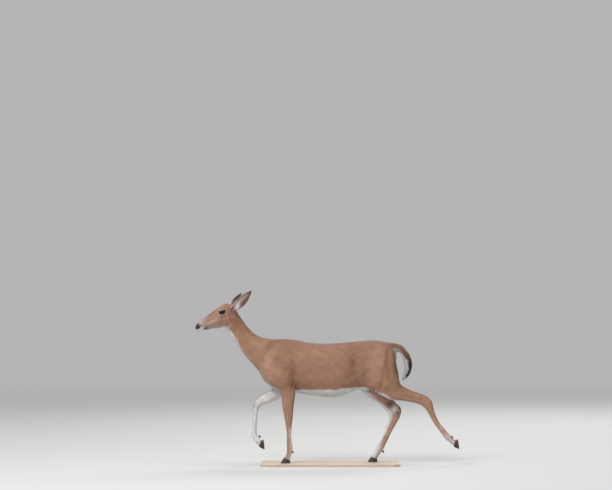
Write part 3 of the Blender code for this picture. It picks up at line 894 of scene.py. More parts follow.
EARS = (
    Ear("ear_left", (-0.684, -0.038, 1.066 + GROUND), (-0.547, -0.105, 1.204 + GROUND),
        (-0.42, -0.9, -0.05)),
    Ear("ear_right", (-0.698, 0.034, 1.07 + GROUND), (-0.617, 0.125, 1.184 + GROUND),
        (-0.85, 0.02, 0.4)),
)


@dataclass(frozen=True)
class LieLine:
    """Hair near this line runs along it. Its reach sets how widely it is felt."""

    start: tuple
    end: tuple
    reach: float
    way: tuple | None = None


# How widely each stretch of a limb is felt, from the top down
LIMB_REACHES = (0.07, 0.055, 0.035, 0.02, 0.018)


def lie_lines() -> list[LieLine]:
    """The lines that the coat follows, over the whole body.

    Returns:
        The lines.
    """
    lines = [
        LieLine((-0.46, 0, 0.72), (0.44, 0, 0.76), 0.12, (1.0, 0.0, -0.3)),
        LieLine((-0.3, 0, 0.52), (0.2, 0, 0.53), 0.05, (1.0, 0.0, -0.12)),
        LieLine((-0.705, 0, 1.03), (-0.6, 0, 0.93), 0.05),
        LieLine((-0.6, 0, 0.93), (-0.46, 0, 0.76), 0.07, (0.62, 0.0, -0.78)),
    ]
    nose, poll = HEAD.world(0.0, 0, -0.01), HEAD.world(0.27, 0, 0.01)
    lines.append(LieLine(tuple(nose), tuple(poll), 0.045))
    lines += [LieLine(ear.root, ear.tip, 0.022) for ear in EARS]
    for leg in LEGS:
        joints = limb_line(leg)
        lines += [LieLine(*stretch) for stretch in zip(joints, joints[1:], LIMB_REACHES)]
    lines += [LieLine(*stretch, 0.016) for stretch in zip(TAIL_LINE, TAIL_LINE[1:])]
    return lines


def lie_of_coat(points: Array, facing: Array) -> Array:
    """The way that the hair lies.

    Args:
        points: Places on the skin.
        facing: The skin's normals there.

    Returns:
        Directions along the skin, one a row.
    """
    total = np.zeros_like(points)
    for line in lie_lines():
        distance, _ = to_polyline(points, [line.start, line.end])
        way = line.way or tuple(np.subtract(line.end, line.start))
        weight = 1 / ((distance / line.reach) ** 4 + 0.02)
        total += weight[:, None] * unit(np.array(way, float))
    total = unit(total)
    sway = 0.16 * ripple(points, 0.11, 5)
    total += sway[:, None] * np.cross(facing, total)
    return unit(total - facing * (total * facing).sum(1)[:, None])


# Markings

# The line between the lips, in the head's own frame
LIPS = ((-0.006, 0.0, -0.015), (0.008, 0.02, -0.017), (0.03, 0.0255, -0.0185),
        (0.046, 0.0262, -0.0225), (0.058, 0.027, -0.0265))


def nose_skin(flat: Array) -> Array:
    """How far folded places belong to the bare black skin round the nose, from 0 to 1."""
    reach = np.hypot((flat[:, 0] - 0.008) / 0.027, (flat[:, 2] - 0.004) / 0.019)
    return fade(reach, 1.06, 0.92)


@dataclass(frozen=True)
class Palette:
    """The coat's colours, as linear RGB."""

    russet: Colour = (0.372, 0.2, 0.128)
    deep: Colour = (0.232, 0.106, 0.062)
    tan: Colour = (0.48, 0.272, 0.188)
    rose: Colour = (0.4, 0.235, 0.2)
    mauve: Colour = (0.36, 0.255, 0.25)
    cream: Colour = (0.56, 0.47, 0.39)
    white: Colour = (0.73, 0.715, 0.705)
    umber: Colour = (0.13, 0.062, 0.038)
    black: Colour = (0.018, 0.013, 0.012)
    pink: Colour = (0.42, 0.29, 0.275)


@dataclass(frozen=True)
class Spot:
    """A soft round spot: its colour, how much of it, its middle and how far it reaches."""

    colour: str
    amount: float
    middle: tuple
    radii: tuple


# Painted highlights: paler spots where the light catches the point of the shoulder and the thigh
PAINTED_HIGHLIGHTS = (
    Spot("tan", 0.8, (-0.445, 0, 0.68), (0.055, 1, 0.1)),  # painted highlight on the point of the shoulder
    Spot("tan", 0.6, (0.29, 0, 0.7), (0.07, 1, 0.1)),  # painted highlight on the thigh
)
# Painted shade: darker spots in the creases and hollows, where shade falls
PAINTED_SHADE_SPOTS = (
    Spot("deep", 0.75, (-0.29, 0, 0.56), (0.06, 1, 0.05)),  # painted shade in the crease behind the elbow
    Spot("deep", 0.4, (-0.27, 0, 0.68), (0.03, 1, 0.12)),  # painted shade in the groove behind the shoulder blade
    Spot("deep", 0.65, (0.15, 0, 0.74), (0.03, 1, 0.09)),  # painted shade in the flank hollow
    Spot("deep", 0.8, (0.395, 0, 0.68), (0.016, 1, 0.13)),  # painted shade in the groove behind the thigh
)
FACE_SPOTS = (
    Spot("umber", 0.6, (0.125, 0, 0.04), (0.034, 0.018, 0.018)),  # bridge of the nose
    Spot("umber", 0.8, (0.262, 0, 0.056), (0.02, 0.045, 0.022)),  # crown
    Spot("deep", 0.55, (0.09, 0.03, 0.012), (0.016, 0.02, 0.012)),  # side of the nose
    Spot("deep", 0.45, (0.2, 0.05, -0.012), (0.03, 0.03, 0.014)),  # under the eye
    Spot("deep", 0.6, (0.244, 0.05, -0.052), (0.014, 0.04, 0.028)),  # painted shade in the hollow behind the jaw
    Spot("cream", 0.45, (0.13, 0.04, -0.016), (0.05, 0.03, 0.012)),  # cheek
)
# Where the belly's white ends on the side: places along, and heights above the soles
BELLY_EDGE = ((-0.49, -0.43, -0.36, -0.28, 0.035, 0.07, 0.12, 0.24, 0.28, 0.34),
              (0.606, 0.55, 0.516, 0.516, 0.517, 0.522, 0.527, 0.532, 0.518, 0.492))
# The same on the outside of the thigh
THIGH_EDGE = ((0.28, 0.308, 0.336, 0.364, 0.4, 0.44),
              (0.522, 0.511, 0.502, 0.494, 0.482, 0.47))
# Where the tail's white fringe starts: shares of its length, and distances off its middle
TAIL_EDGE = ((0.0, 0.2, 0.4, 0.6, 0.72, 0.84, 0.92, 1.0),
             (-0.004, -0.008, -0.007, -0.003, -0.004, 0.001, 0.012, 0.02))
FORE_DOWN = unit(np.array([-0.8, 0, -0.6]))


@dataclass
class Area:
    """Places of one kind on the coat, with the colours laid on them so far."""

    palette: Palette
    points: Array
    facing: Array
    nodes: Array
    colours: Array

    def part(self, chosen: Array) -> "Area":
        """Some of these places, as an area of their own."""
        rows = (self.points, self.facing, self.nodes, self.colours)
        return Area(self.palette, *(row[chosen] for row in rows))

    def lay(self, name: str, amount: float | Array) -> None:
        """Lays so much of one of the palette's colours over what is there."""
        share = np.clip(amount, 0.0, 1.0)[..., None]
        self.colours = self.colours * (1 - share) + np.array(getattr(self.palette, name)) * share

    def dot(self, points: Array, spots: tuple[Spot, ...]) -> None:
        """Lays soft round spots, from the area's places in the spots' own frame."""
        for spot in spots:
            self.lay(spot.colour, spot.amount * patch(points, spot.middle, spot.radii))

    def by_leg(self, pair: str) -> Iterator[tuple[str, "Area"]]:
        """Parts the area by leg, and takes each part's colours back.

        Args:
            pair: Which legs, fore or hind.

        Yields:
            A leg's name and its own area.
        """
        for leg in LEGS:
            chosen = np.char.find(self.nodes, leg) >= 0
            if leg.startswith(pair) and chosen.any():
                own = self.part(chosen)
                yield leg, own
                self.colours[chosen] = own.colours


class Markings:
    """Works out the colour of the coat at any place, for skin and tufts alike."""

    def __init__(self, palette: Palette) -> None:
        """Keeps the palette."""
        self.palette = palette

    def colours(self, points: Array, facing: Array, nodes: Array) -> Array:
        """The coat's colours.

        Args:
            points: Places, one a row.
            facing: The skin's normals there.
            nodes: The name of the nearest CAD node to each.

        Returns:
            Linear RGB, one a row.
        """
        marks = {
            "trunk": self.trunk, "neck": self.neck, "tail": self.tail, "ear": self.ear,
            "fore": self.fore_legs, "hind": self.hind_legs, "head": self.head,
            "eye": self.head, "nose": self.head,
        }
        kinds = np.char.partition(nodes, "_")[:, 0]
        limbs = np.char.startswith(nodes, "dewclaw")
        kinds[limbs] = np.char.partition(np.char.partition(nodes[limbs], "_")[:, 2], "_")[:, 0]
        fine = np.isin(kinds, ("head", "ear", "eye", "nose"))
        slim = np.isin(kinds, ("fore", "hind")) & (points[:, 2] < 0.5) | (kinds == "tail")
        coarse = 0.0045 * np.stack([ripple(points, 0.022, s) for s in (1, 2, 3)], 1)
        coarse *= np.where(slim, 0.4, 1.0)[:, None]
        small = 0.001 * np.stack([ripple(points, 0.008, s) for s in (4, 5, 6)], 1)
        ragged = points + np.where(fine[:, None], small, coarse)
        plain = np.tile(np.array(self.palette.russet), (len(points), 1))
        whole = Area(self.palette, ragged, facing, nodes, plain)
        for kind, mark in marks.items():
            chosen = kinds == kind
            if chosen.any():
                own = whole.part(chosen)
                mark(own)
                whole.colours[chosen] = own.colours
        mottle = 1 + 0.07 * ripple(points, 0.075, 8) + 0.05 * ripple(points, 0.028, 9)
        return np.clip(whole.colours * mottle[:, None], 0.0, 0.9)

    def trunk(self, area: Area) -> None:
        """Russet sides, a darker back, a white belly and a white rump patch, with painted
        highlights and painted shade.

        Args:
            area: The trunk.
        """
        x, y, z = area.points.T
        z = z - GROUND
        area.lay("deep", 0.5 * fade(z, 0.76, 0.86))
        # Painted highlight: mauve on the surfaces that face up, for the pale sky light along the
        # back
        area.lay("mauve", 0.3 * fade(area.facing[:, 2], 0.55, 0.95))
        # Painted highlights on the point of the shoulder and on the thigh
        area.dot(area.points, PAINTED_HIGHLIGHTS)
        area.lay("tan", 0.25 * fade(z, 0.7, 0.56) * fade(x, -0.25, -0.1))
        # Painted shade behind the elbow and the shoulder blade, in the flank hollow and behind the
        # thigh
        area.dot(area.points, PAINTED_SHADE_SPOTS)
        area.lay("deep", 0.7 * fade(x, 0.32, 0.44) * fade(z, 0.64, 0.52))
        area.lay("umber", 0.75 * fade(x, 0.415, 0.458) * fade(z, 0.82, 0.77))
        area.lay("deep", 0.45 * fade(x, 0.34, 0.46) * fade(z, 0.8, 0.84))
        chest = fade(x, -0.36, -0.44)
        front = area.facing @ FORE_DOWN
        area.lay("tan", 0.55 * chest * fade(front, 0.1, 0.8))
        area.lay("cream", 0.45 * chest * fade(front, 0.5, 0.9))
        edge = np.interp(x, *BELLY_EDGE)
        soft = 0.0045 + 0.01 * chest
        area.lay("white", fade(z, edge + soft, edge - soft))
        belly = fade(np.abs(y), 0.055, 0.03) * fade(area.facing[:, 2], -0.2, -0.6)
        groin = fade(-area.facing[:, 1] * np.sign(y), 0.0, 0.35) * fade(z, 0.6, 0.56)
        area.lay("white", np.maximum(belly, groin) * fade(x, 0.1, 0.16))
        rump = fade(np.abs(y), 0.06, 0.044) * fade(x, 0.425, 0.45) * fade(z, 0.815, 0.795)
        area.lay("white", rump)

    def throat(self, area: Area) -> None:
        """The white patch that runs from under the jaw on to the neck.

        Args:
            area: The head or the neck.
        """
        line = [(-0.738, 0, 0.932), (-0.712, 0, 0.905), (-0.685, 0, 0.872), (-0.655, 0, 0.832),
                (-0.625, 0, 0.78)]
        distance, along = to_polyline(area.points * (1, 0, 1) - (0, 0, GROUND), line)
        reach = 0.021 - 0.017 * along
        area.lay("cream", 0.75 * fade(distance, reach + 0.02, reach + 0.002))
        whiter = (1 - 0.5 * fade(along, 0.6, 1.0)) * fade(distance, reach + 0.01, reach - 0.004)
        area.lay("white", 0.9 * whiter)

    def neck(self, area: Area) -> None:
        """Darker along the crest, with painted shade behind the jaw and a painted highlight along
        the neck muscle's edge, pale down the front.

        Args:
            area: The neck.
        """
        line = [(-0.7, 0, 1.02 + GROUND), (-0.6, 0, 0.9 + GROUND), (-0.45, 0, 0.74 + GROUND)]
        _, along = to_polyline(area.points, line)
        front = area.facing @ FORE_DOWN
        area.lay("deep", 0.6 * fade(along, 0.55, 0.05) * fade(front, 0.6, -0.2))
        area.lay("deep", 0.4 * fade(front, -0.5, -0.95))
        # Painted shade in the hollow behind the jaw
        jaw = patch(area.points, (-0.672, 0, 0.985 + GROUND), (0.02, 1, 0.045))
        area.lay("deep", 0.55 * jaw)
        # Painted highlight along the edge of the neck muscle
        stripe = patch(area.points, (-0.651, 0, 0.905 + GROUND), (0.01, 1, 0.04))
        area.lay("tan", 0.6 * stripe)
        area.lay("tan", 0.55 * fade(front, 0.1, 0.8))
        paler = 0.7 - 0.25 * fade(along, 0.5, 1.0)
        area.lay("cream", paler * fade(front, 0.5, 0.9))
        area.lay("tan", 0.35 * fade(along, 0.55, 1.0))
        self.throat(area)

    def tail(self, area: Area) -> None:
        """Brown above, turning black towards the tip, with a white fringe and underside.

        Args:
            area: The tail.
        """
        along, off, _ = beside_line(area.points, TAIL_LINE)
        area.lay("deep", 0.55 * fade(along, 0.05, 0.2))
        area.lay("umber", 0.25 + 0.55 * fade(along, 0.2, 0.5))
        area.lay("black", 0.95 * fade(along, 0.42, 0.62))
        edge = np.interp(along, *TAIL_EDGE)
        area.lay("white", fade(off, edge + 0.002, edge - 0.003))
        area.lay("white", fade(along, 0.96, 1.0))

    def ear(self, area: Area) -> None:
        """Brown behind, mauve and white inside, with a dark rim and tip.

        Args:
            area: Both ears.
        """
        for ear in EARS:
            chosen = area.nodes == ear.node
            if not chosen.any():
                continue
            own = area.part(chosen)
            share, across = ear.place(own.points)
            inside = fade(own.facing @ ear.towards(), 0.0, 0.35)
            over = across / (0.012 + 0.024 * np.sin(math.pi * np.clip(share, 0, 1)))
            own.lay("umber", 0.42)
            own.lay("mauve", 0.25)
            own.lay("mauve", 0.85 * inside)
            middle = fade(np.abs(over), 0.95, 0.65)
            own.lay("white", 0.9 * inside * middle * fade(share, 0.48, 0.22))
            streak = inside * fade(np.abs(over + 0.25), 0.3, 0.1) * fade(share, 0.85, 0.45)
            own.lay("white", 0.45 * streak)
            own.lay("umber", 0.95 * fade(over, 0.1, 0.48) * fade(share, 0.2, 0.42))
            own.lay("umber", 0.6 * fade(over, -0.7, -0.95) * fade(share, 0.2, 0.4))
            own.lay("umber", 0.8 * fade(share, 0.74, 0.9))
            own.lay("black", fade(share, 0.88, 0.98))
            own.lay("rose", 0.85 * fade(share, 0.17, 0.07))
            area.colours[chosen] = own.colours

    def fore_legs(self, area: Area) -> None:
        """Tan outside, white inside and down the back edge, dusky over the knee.

        Args:
            area: Both fore legs.
        """
        for leg, own in area.by_leg("fore"):
            inner, front = self.limb_ways(leg, own)
            z = own.points[:, 2]
            low = fade(z, 0.3 + GROUND, 0.22 + GROUND)
            forearm = fade(z, 0.27 + GROUND, 0.33 + GROUND)
            score = 0.9 * inner - (0.42 - 0.34 * forearm) * front + 0.5 * low
            self.outside(own, front)
            own.lay("white", fade(score, 0.12, 0.42))
            own.lay("white", 0.7 * low * fade(front, -0.05, -0.45))
            knee = tuple(np.array(limb_line(leg)[3]) - (0.012, 0, 0))
            dusk = patch(own.points, knee, (0.022, 1, 0.03)) * fade(front, -0.2, 0.6)
            own.lay("mauve", 0.7 * dusk)

    def hind_legs(self, area: Area) -> None:
        """Tan outside, a white inner front edge, and the glands' tufts at hock and cannon.

        Args:
            area: Both hind legs.
        """
        for leg, own in area.by_leg("hind"):
            points = own.points
            inner, front = self.limb_ways(leg, own)
            z = points[:, 2] - GROUND
            self.outside(own, front)
            own.lay("cream", 0.12 * fade(inner, 0.0, 0.6))
            own.lay("umber", 0.45 * fade(front, -0.35, -0.85) * fade(inner, -0.2, 0.3))
            within = fade(inner, 0.0, 0.5)
            score = 0.35 * np.minimum(inner, 0.0) + 0.8 * front + 0.36 * fade(z, 0.43, 0.49)
            score += within * np.interp(z, (0.4, 0.47, 0.52), (0.2, -0.05, -0.4))
            top = np.interp(points[:, 0], *THIGH_EDGE)
            above = fade(inner, 0.35, -0.05) * fade(z, top - 0.006, top + 0.006)
            own.lay("white", fade(score, 0.28, 0.58) * fade(z, 0.57, 0.53) * (1 - above))
            stifle, hock, fetlock, foot = (np.array(joint) for joint in limb_line(leg)[2:6])
            # Partly the darker coat of the inner gaskin and partly painted shadow under the thigh
            behind = stifle + 0.72 * (hock - stifle) + 0.026 * np.array(side_normal(stifle, hock))
            own.lay("umber", 0.85 * (patch(points, tuple(behind), (0.034, 1, 0.028)) * within))
            pale = patch(points, tuple(hock + (0.005, 0, 0.029)), (0.02, 0.06, 0.03))
            dark = patch(points, tuple(hock + (0.022, 0, 0.006)), (0.01, 0.05, 0.009))
            own.lay("white", 1.3 * pale * fade(inner, 0.0, 0.4))
            own.lay("umber", 1.5 * dark * fade(inner, 0.0, 0.4))
            gland = tuple(hock + 0.67 * (fetlock - hock) + (0.004, 0, 0.004))
            outer = fade(inner, -0.1, -0.5)
            own.lay("white", 1.2 * patch(points, gland, (0.011, 1, 0.017)) * outer)
            own.lay("umber", 1.6 * patch(points, gland, (0.0045, 1, 0.0065)) * outer)
            below = (points - fetlock) @ unit(foot - fetlock)
            own.lay("white", 0.48 * fade(below, -0.055, 0.005))

    def limb_ways(self, leg: str, area: Area) -> tuple[Array, Array]:
        """How much the skin faces inwards, and how much to the limb's own front."""
        _, _, off = beside_line(area.points, limb_line(leg))
        return -side_of(leg).value * area.facing[:, 1], -(area.facing * off).sum(1)

    def outside(self, area: Area, front: Array) -> None:
        """The tan of a leg's outer face, darker down its back edge when it is an upper.

        Args:
            area: The leg.
            front: How much the skin faces the limb's own front.
        """
        z = area.points[:, 2] - GROUND
        upper = np.char.endswith(area.nodes, "upper")
        area.lay("tan", 0.62 + 0.3 * fade(z, 0.45, 0.25))
        area.lay("deep", 0.55 * fade(front, -0.3, -0.9) * upper)
        area.lay("deep", 0.4 * fade(z, 0.46, 0.54))

    def head(self, area: Area) -> None:
        """The face, from the black nose and white chin to the dark crown.

        Args:
            area: The head with its eyes and nose.
        """
        flat, way = HEAD.folded(area.points), HEAD.own_way(area.facing)
        back, up = flat[:, 0], flat[:, 2]
        top = fade(way[:, 2], 0.35, 0.85)
        area.lay("mauve", 0.6 * fade(back, 0.18, 0.06))
        area.lay("pink", 0.55 * fade(back, 0.12, 0.07) * fade(up, -0.012, 0.0))
        area.lay("rose", 0.55 * top * fade(back, 0.13, 0.2))
        # Spots of the face, among them painted shade behind the jaw
        area.dot(flat, FACE_SPOTS)
        jaw = [(0.0, 0.012, -0.03), (0.05, 0.02, -0.044), (0.135, 0.02, -0.074), (0.22, 0, -0.09)]
        distance, along = to_polyline(flat, jaw)
        reach = 0.016 + 0.01 * along
        area.lay("cream", 0.42 * fade(distance, reach + 0.016, reach - 0.006))
        area.lay("white", fade(way[:, 2], -0.7, -0.93) * fade(up, -0.02, -0.03))
        # Painted shade in the crease from the corner of the mouth up to the cheek
        crease = [(0.066, 0.028, -0.032), (0.12, 0.034, -0.037), (0.186, 0.045, -0.033)]
        distance, _ = to_polyline(flat, crease)
        area.lay("deep", 0.65 * bell(distance, 0.006))
        self.muzzle(area, flat)
        self.eye_marks(area, flat)
        self.throat(area)

    def muzzle(self, area: Area, flat: Array) -> None:
        """The nose's black surround, the pale band behind it and the dark lip spot.

        Args:
            area: The head.
            flat: Its places in the head's own frame, with the side counted outwards.
        """
        back, up = flat[:, 0], flat[:, 2]
        area.lay("cream", 0.18 * fade(np.abs(back - 0.043), 0.024, 0.01))
        area.lay("white", 0.9 * fade(back, 0.05, 0.038) * fade(up, -0.008, -0.016))
        area.lay("umber", 1.2 * patch(flat, (0.058, 0.024, -0.034), (0.014, 0.02, 0.0075)))
        distance, along = to_polyline(flat, list(LIPS))
        area.lay("black", fade(distance, 0.0022, 0.0012) * fade(along, 1.0, 0.8))
        area.lay("black", fade(nose_skin(flat), 0.52, 0.8))

    def eye_marks(self, area: Area, flat: Array) -> None:
        """A soft pale ring, dark lids and corners, and a pale stripe before the eye.

        Args:
            area: The head.
            flat: Its places in the head's own frame, with the side counted outwards.
        """
        ring = (flat - np.array((0.2075, 0.045, 0.0195))) / np.array((0.027, 0.04, 0.0155))
        reach = np.linalg.norm(ring, axis=1)
        near = fade(np.abs(flat[:, 1] - 0.045), 0.03, 0.018)
        below = 0.2 + 0.18 * fade(flat[:, 2], 0.026, 0.012)
        area.lay("cream", below * near * fade(np.abs(reach - 1.18), 0.34, 0.08))
        distance, _ = to_polyline(flat, [(0.18, 0.042, 0.014), (0.17, 0.036, 0.04)])
        area.lay("cream", 0.75 * fade(distance, 0.0095, 0.003))
        area.lay("umber", 0.9 * near * fade(reach, 1.0, 0.86))
        area.lay("black", 0.95 * near * fade(reach, 0.88, 0.74))
        corners = [(0.182, 0.042, 0.0175), (0.196, 0.045, 0.019), (0.222, 0.047, 0.023),
                   (0.236, 0.045, 0.0235)]
        distance, _ = to_polyline(flat, corners)
        area.lay("black", fade(distance, 0.005, 0.0022))
        brow = patch(flat, (0.215, 0.04, 0.05), (0.026, 0.02, 0.01))
        area.lay("deep", 0.45 * brow)


# The skin


class NodeMap:
    """Finds which CAD node is nearest to any place."""

    def __init__(self, names: list[str]) -> None:
        """Reads the nodes' triangles from the frame.

        Args:
            names: The nodes.
        """
        points, faces, owners = [], [], []
        for index, name in enumerate(names):
            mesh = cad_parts[name].data
            start = len(points)
            points += [vertex.co.copy() for vertex in mesh.vertices]
            for polygon in mesh.polygons:
                faces.append([start + i for i in polygon.vertices])
                owners.append(index)
        self.names = np.array(names)
        self.owners = np.array(owners)
        self.tree = BVHTree.FromPolygons(points, faces)

    def nearest(self, points: Array) -> Array:
        """The name of the nearest node to each place."""
        found = [self.tree.find_nearest(point)[2] for point in points.tolist()]
        return self.names[self.owners[found]]


FLESH = ["trunk", "neck", "head", "tail", "ear_left", "ear_right"]
FLESH += [f"{leg}_{part}" for leg in LEGS for part in ("upper", "cannon", "pastern")]
FILLERS = ["eye_left", "eye_right", "nose_pad"]
FILLERS += [f"dewclaw_{leg}_{word}" for leg in LEGS for word in ("left", "right")]

# How deep the skin lies under the coat's surface, and how far it is evened out
COAT_DEPTH = {"trunk": 0.0026, "neck": 0.0026, "head": 0.001, "tail": 0.006, "ear": 0.0008,
              "upper": 0.0022, "cannon": 0.0011, "pastern": 0.0011, "eye": 0.001, "nose": 0.001}
EVENNESS = {"trunk": 0.55, "neck": 0.55, "head": 0.1, "tail": 0.4, "ear": 0.16,
            "upper": 0.4, "cannon": 0.12, "pastern": 0.12, "eye": 0.1, "nose": 0.1}


def by_kind(nodes: Array, table: dict[str, float], other: float) -> Array:
    """A number for each vertex, from the kind of its nearest node.

    Args:
        nodes: Node names.
        table: Numbers by the start or the end of a name.
        other: The number where nothing fits.

    Returns:
        One number for each node name.
    """
    found = np.full(len(nodes), other)
    for name in np.unique(nodes):
        for word, number in table.items():
            if name.startswith(word) or name.endswith(word):
                found[nodes == name] = number
                break
    return found


@dataclass(frozen=True)
class Stroke:
    """One move of the sculptor: a ridge or a groove along a line.

    A body stroke's line is seen from the side, as along and height above the soles.
    A head stroke's line has the head's own axes, its side counted outwards.
    """

    line: tuple
    radius: float
    height: float
    all_round: bool = False


BODY_STROKES = (
    Stroke(((-0.35, 0.8), (-0.4, 0.72), (-0.44, 0.66)), 0.02, 0.0022),  # blade's spine
    Stroke(((-0.385, 0.83), (-0.44, 0.76), (-0.47, 0.7)), 0.022, -0.0032),  # before it
    Stroke(((-0.275, 0.79), (-0.255, 0.69), (-0.25, 0.61)), 0.02, -0.003),  # behind it
    Stroke(((-0.262, 0.64), (-0.248, 0.58), (-0.262, 0.53)), 0.014, -0.0045),  # elbow crease
    Stroke(((-0.345, 0.64), (-0.31, 0.58)), 0.035, 0.004),  # triceps
    Stroke(((-0.455, 0.655), (-0.45, 0.63)), 0.024, 0.0045),  # point of the shoulder
    Stroke(((-0.395, 0.6), (-0.35, 0.545)), 0.016, -0.0025),  # under the triceps
    Stroke(((0.235, 0.822), (0.262, 0.808)), 0.02, 0.005),  # point of the hip
    Stroke(((0.125, 0.8), (0.15, 0.74), (0.172, 0.675)), 0.028, -0.006),  # flank hollow
    Stroke(((0.165, 0.8), (0.185, 0.722), (0.224, 0.63)), 0.012, 0.004),  # thigh's front edge
    Stroke(((0.09, 0.548), (0.15, 0.58), (0.205, 0.615)), 0.016, 0.002),  # flank fold
    Stroke(((0.11, 0.585), (0.165, 0.62)), 0.02, -0.0014),  # above the fold
    Stroke(((0.408, 0.79), (0.392, 0.69), (0.372, 0.6), (0.352, 0.52)), 0.014, -0.0045),
    Stroke(((0.3, 0.74), (0.3, 0.64)), 0.045, 0.003),  # thigh
    Stroke(((-0.16, 0.74), (-0.12, 0.6), (-0.11, 0.55)), 0.008, 0.0008),
    Stroke(((-0.115, 0.745), (-0.075, 0.6), (-0.065, 0.55)), 0.008, 0.0008),
    Stroke(((-0.07, 0.75), (-0.03, 0.605), (-0.02, 0.55)), 0.008, 0.0008),
    Stroke(((-0.025, 0.75), (0.015, 0.61), (0.025, 0.56)), 0.008, 0.0008),
    Stroke(((-0.69, 0.93), (-0.62, 0.85), (-0.545, 0.755), (-0.5, 0.69)), 0.012, -0.003),
    Stroke(((-0.655, 0.96), (-0.59, 0.88), (-0.51, 0.8)), 0.018, 0.002),  # neck muscle
    Stroke(((-0.684, 0.878), (-0.66, 0.838)), 0.024, 0.0042, all_round=True),  # throat's ruff
)
LEG_STROKES = {
    "hind_left": (
        Stroke(((0.52, 0.466), (0.59, 0.452), (0.65, 0.44)), 0.007, -0.003),
        Stroke(((0.71, 0.345), (0.76, 0.262), (0.795, 0.215)), 0.0045, -0.0016),
        Stroke(((0.676, 0.405), (0.69, 0.385)), 0.012, 0.0016),
        Stroke(((0.7, 0.432), (0.716, 0.424)), 0.016, 0.0026, all_round=True),
    ),
    "hind_right": (
        Stroke(((0.37, 0.47), (0.41, 0.43), (0.43, 0.4)), 0.008, -0.003),
        Stroke(((0.435, 0.275), (0.405, 0.21), (0.37, 0.135)), 0.0045, -0.0016),
        Stroke(((0.43, 0.362), (0.44, 0.338)), 0.012, 0.0016),
        Stroke(((0.476, 0.378), (0.48, 0.362)), 0.019, 0.0068, all_round=True),
    ),
    "fore_left": (
        Stroke(((-0.28, 0.25), (-0.276, 0.18), (-0.273, 0.125)), 0.004, -0.0014),
        Stroke(((-0.296, 0.315), (-0.294, 0.292)), 0.01, 0.0014),
        Stroke(((-0.286, 0.225), (-0.279, 0.14)), 0.04, 0.0017, all_round=True),
        Stroke(((-0.3, 0.5), (-0.296, 0.43), (-0.292, 0.36)), 0.01, -0.0018),
    ),
    "fore_right": (
        Stroke(((-0.516, 0.345), (-0.519, 0.27), (-0.522, 0.215)), 0.004, -0.0014),
        Stroke(((-0.52, 0.415), (-0.528, 0.392)), 0.01, 0.0014),
        Stroke(((-0.36, 0.495), (-0.42, 0.46), (-0.47, 0.432)), 0.01, -0.0018),
    ),
}
HEAD_STROKES = (
    Stroke(((0.19, 0.042, -0.006), (0.15, 0.036, -0.012), (0.11, 0.03, -0.014)), 0.008, 0.002),
    Stroke(((0.172, 0.036, 0.018), (0.158, 0.033, 0.014)), 0.009, -0.003),  # before the eye
    Stroke(((0.06, 0.026, 0.004), (0.11, 0.03, 0.008)), 0.012, -0.0016),  # side of the nose
    Stroke(((0.25, 0.04, 0.01), (0.232, 0.044, 0.004)), 0.011, -0.0022),  # temple
    Stroke(((0.215, 0.04, -0.05), (0.2, 0.04, -0.03)), 0.026, 0.0016),  # cheek muscle
    Stroke(((0.252, 0.036, -0.06), (0.262, 0.038, -0.02)), 0.012, -0.0026),  # behind the jaw
    Stroke(((0.075, 0.022, -0.034), (0.13, 0.028, -0.048)), 0.01, -0.0014),  # above the jaw
    Stroke(((0.03, 0.018, -0.034), (0.012, 0.014, -0.032)), 0.01, 0.0012),  # chin
    Stroke(((0.036, 0.025, -0.006), (0.02, 0.024, -0.008)), 0.009, 0.0014),  # whisker pad
    Stroke(((0.0115, 0.0215, -0.0005), (0.019, 0.024, 0.0025)), 0.0034, -0.0034),  # nostril
)


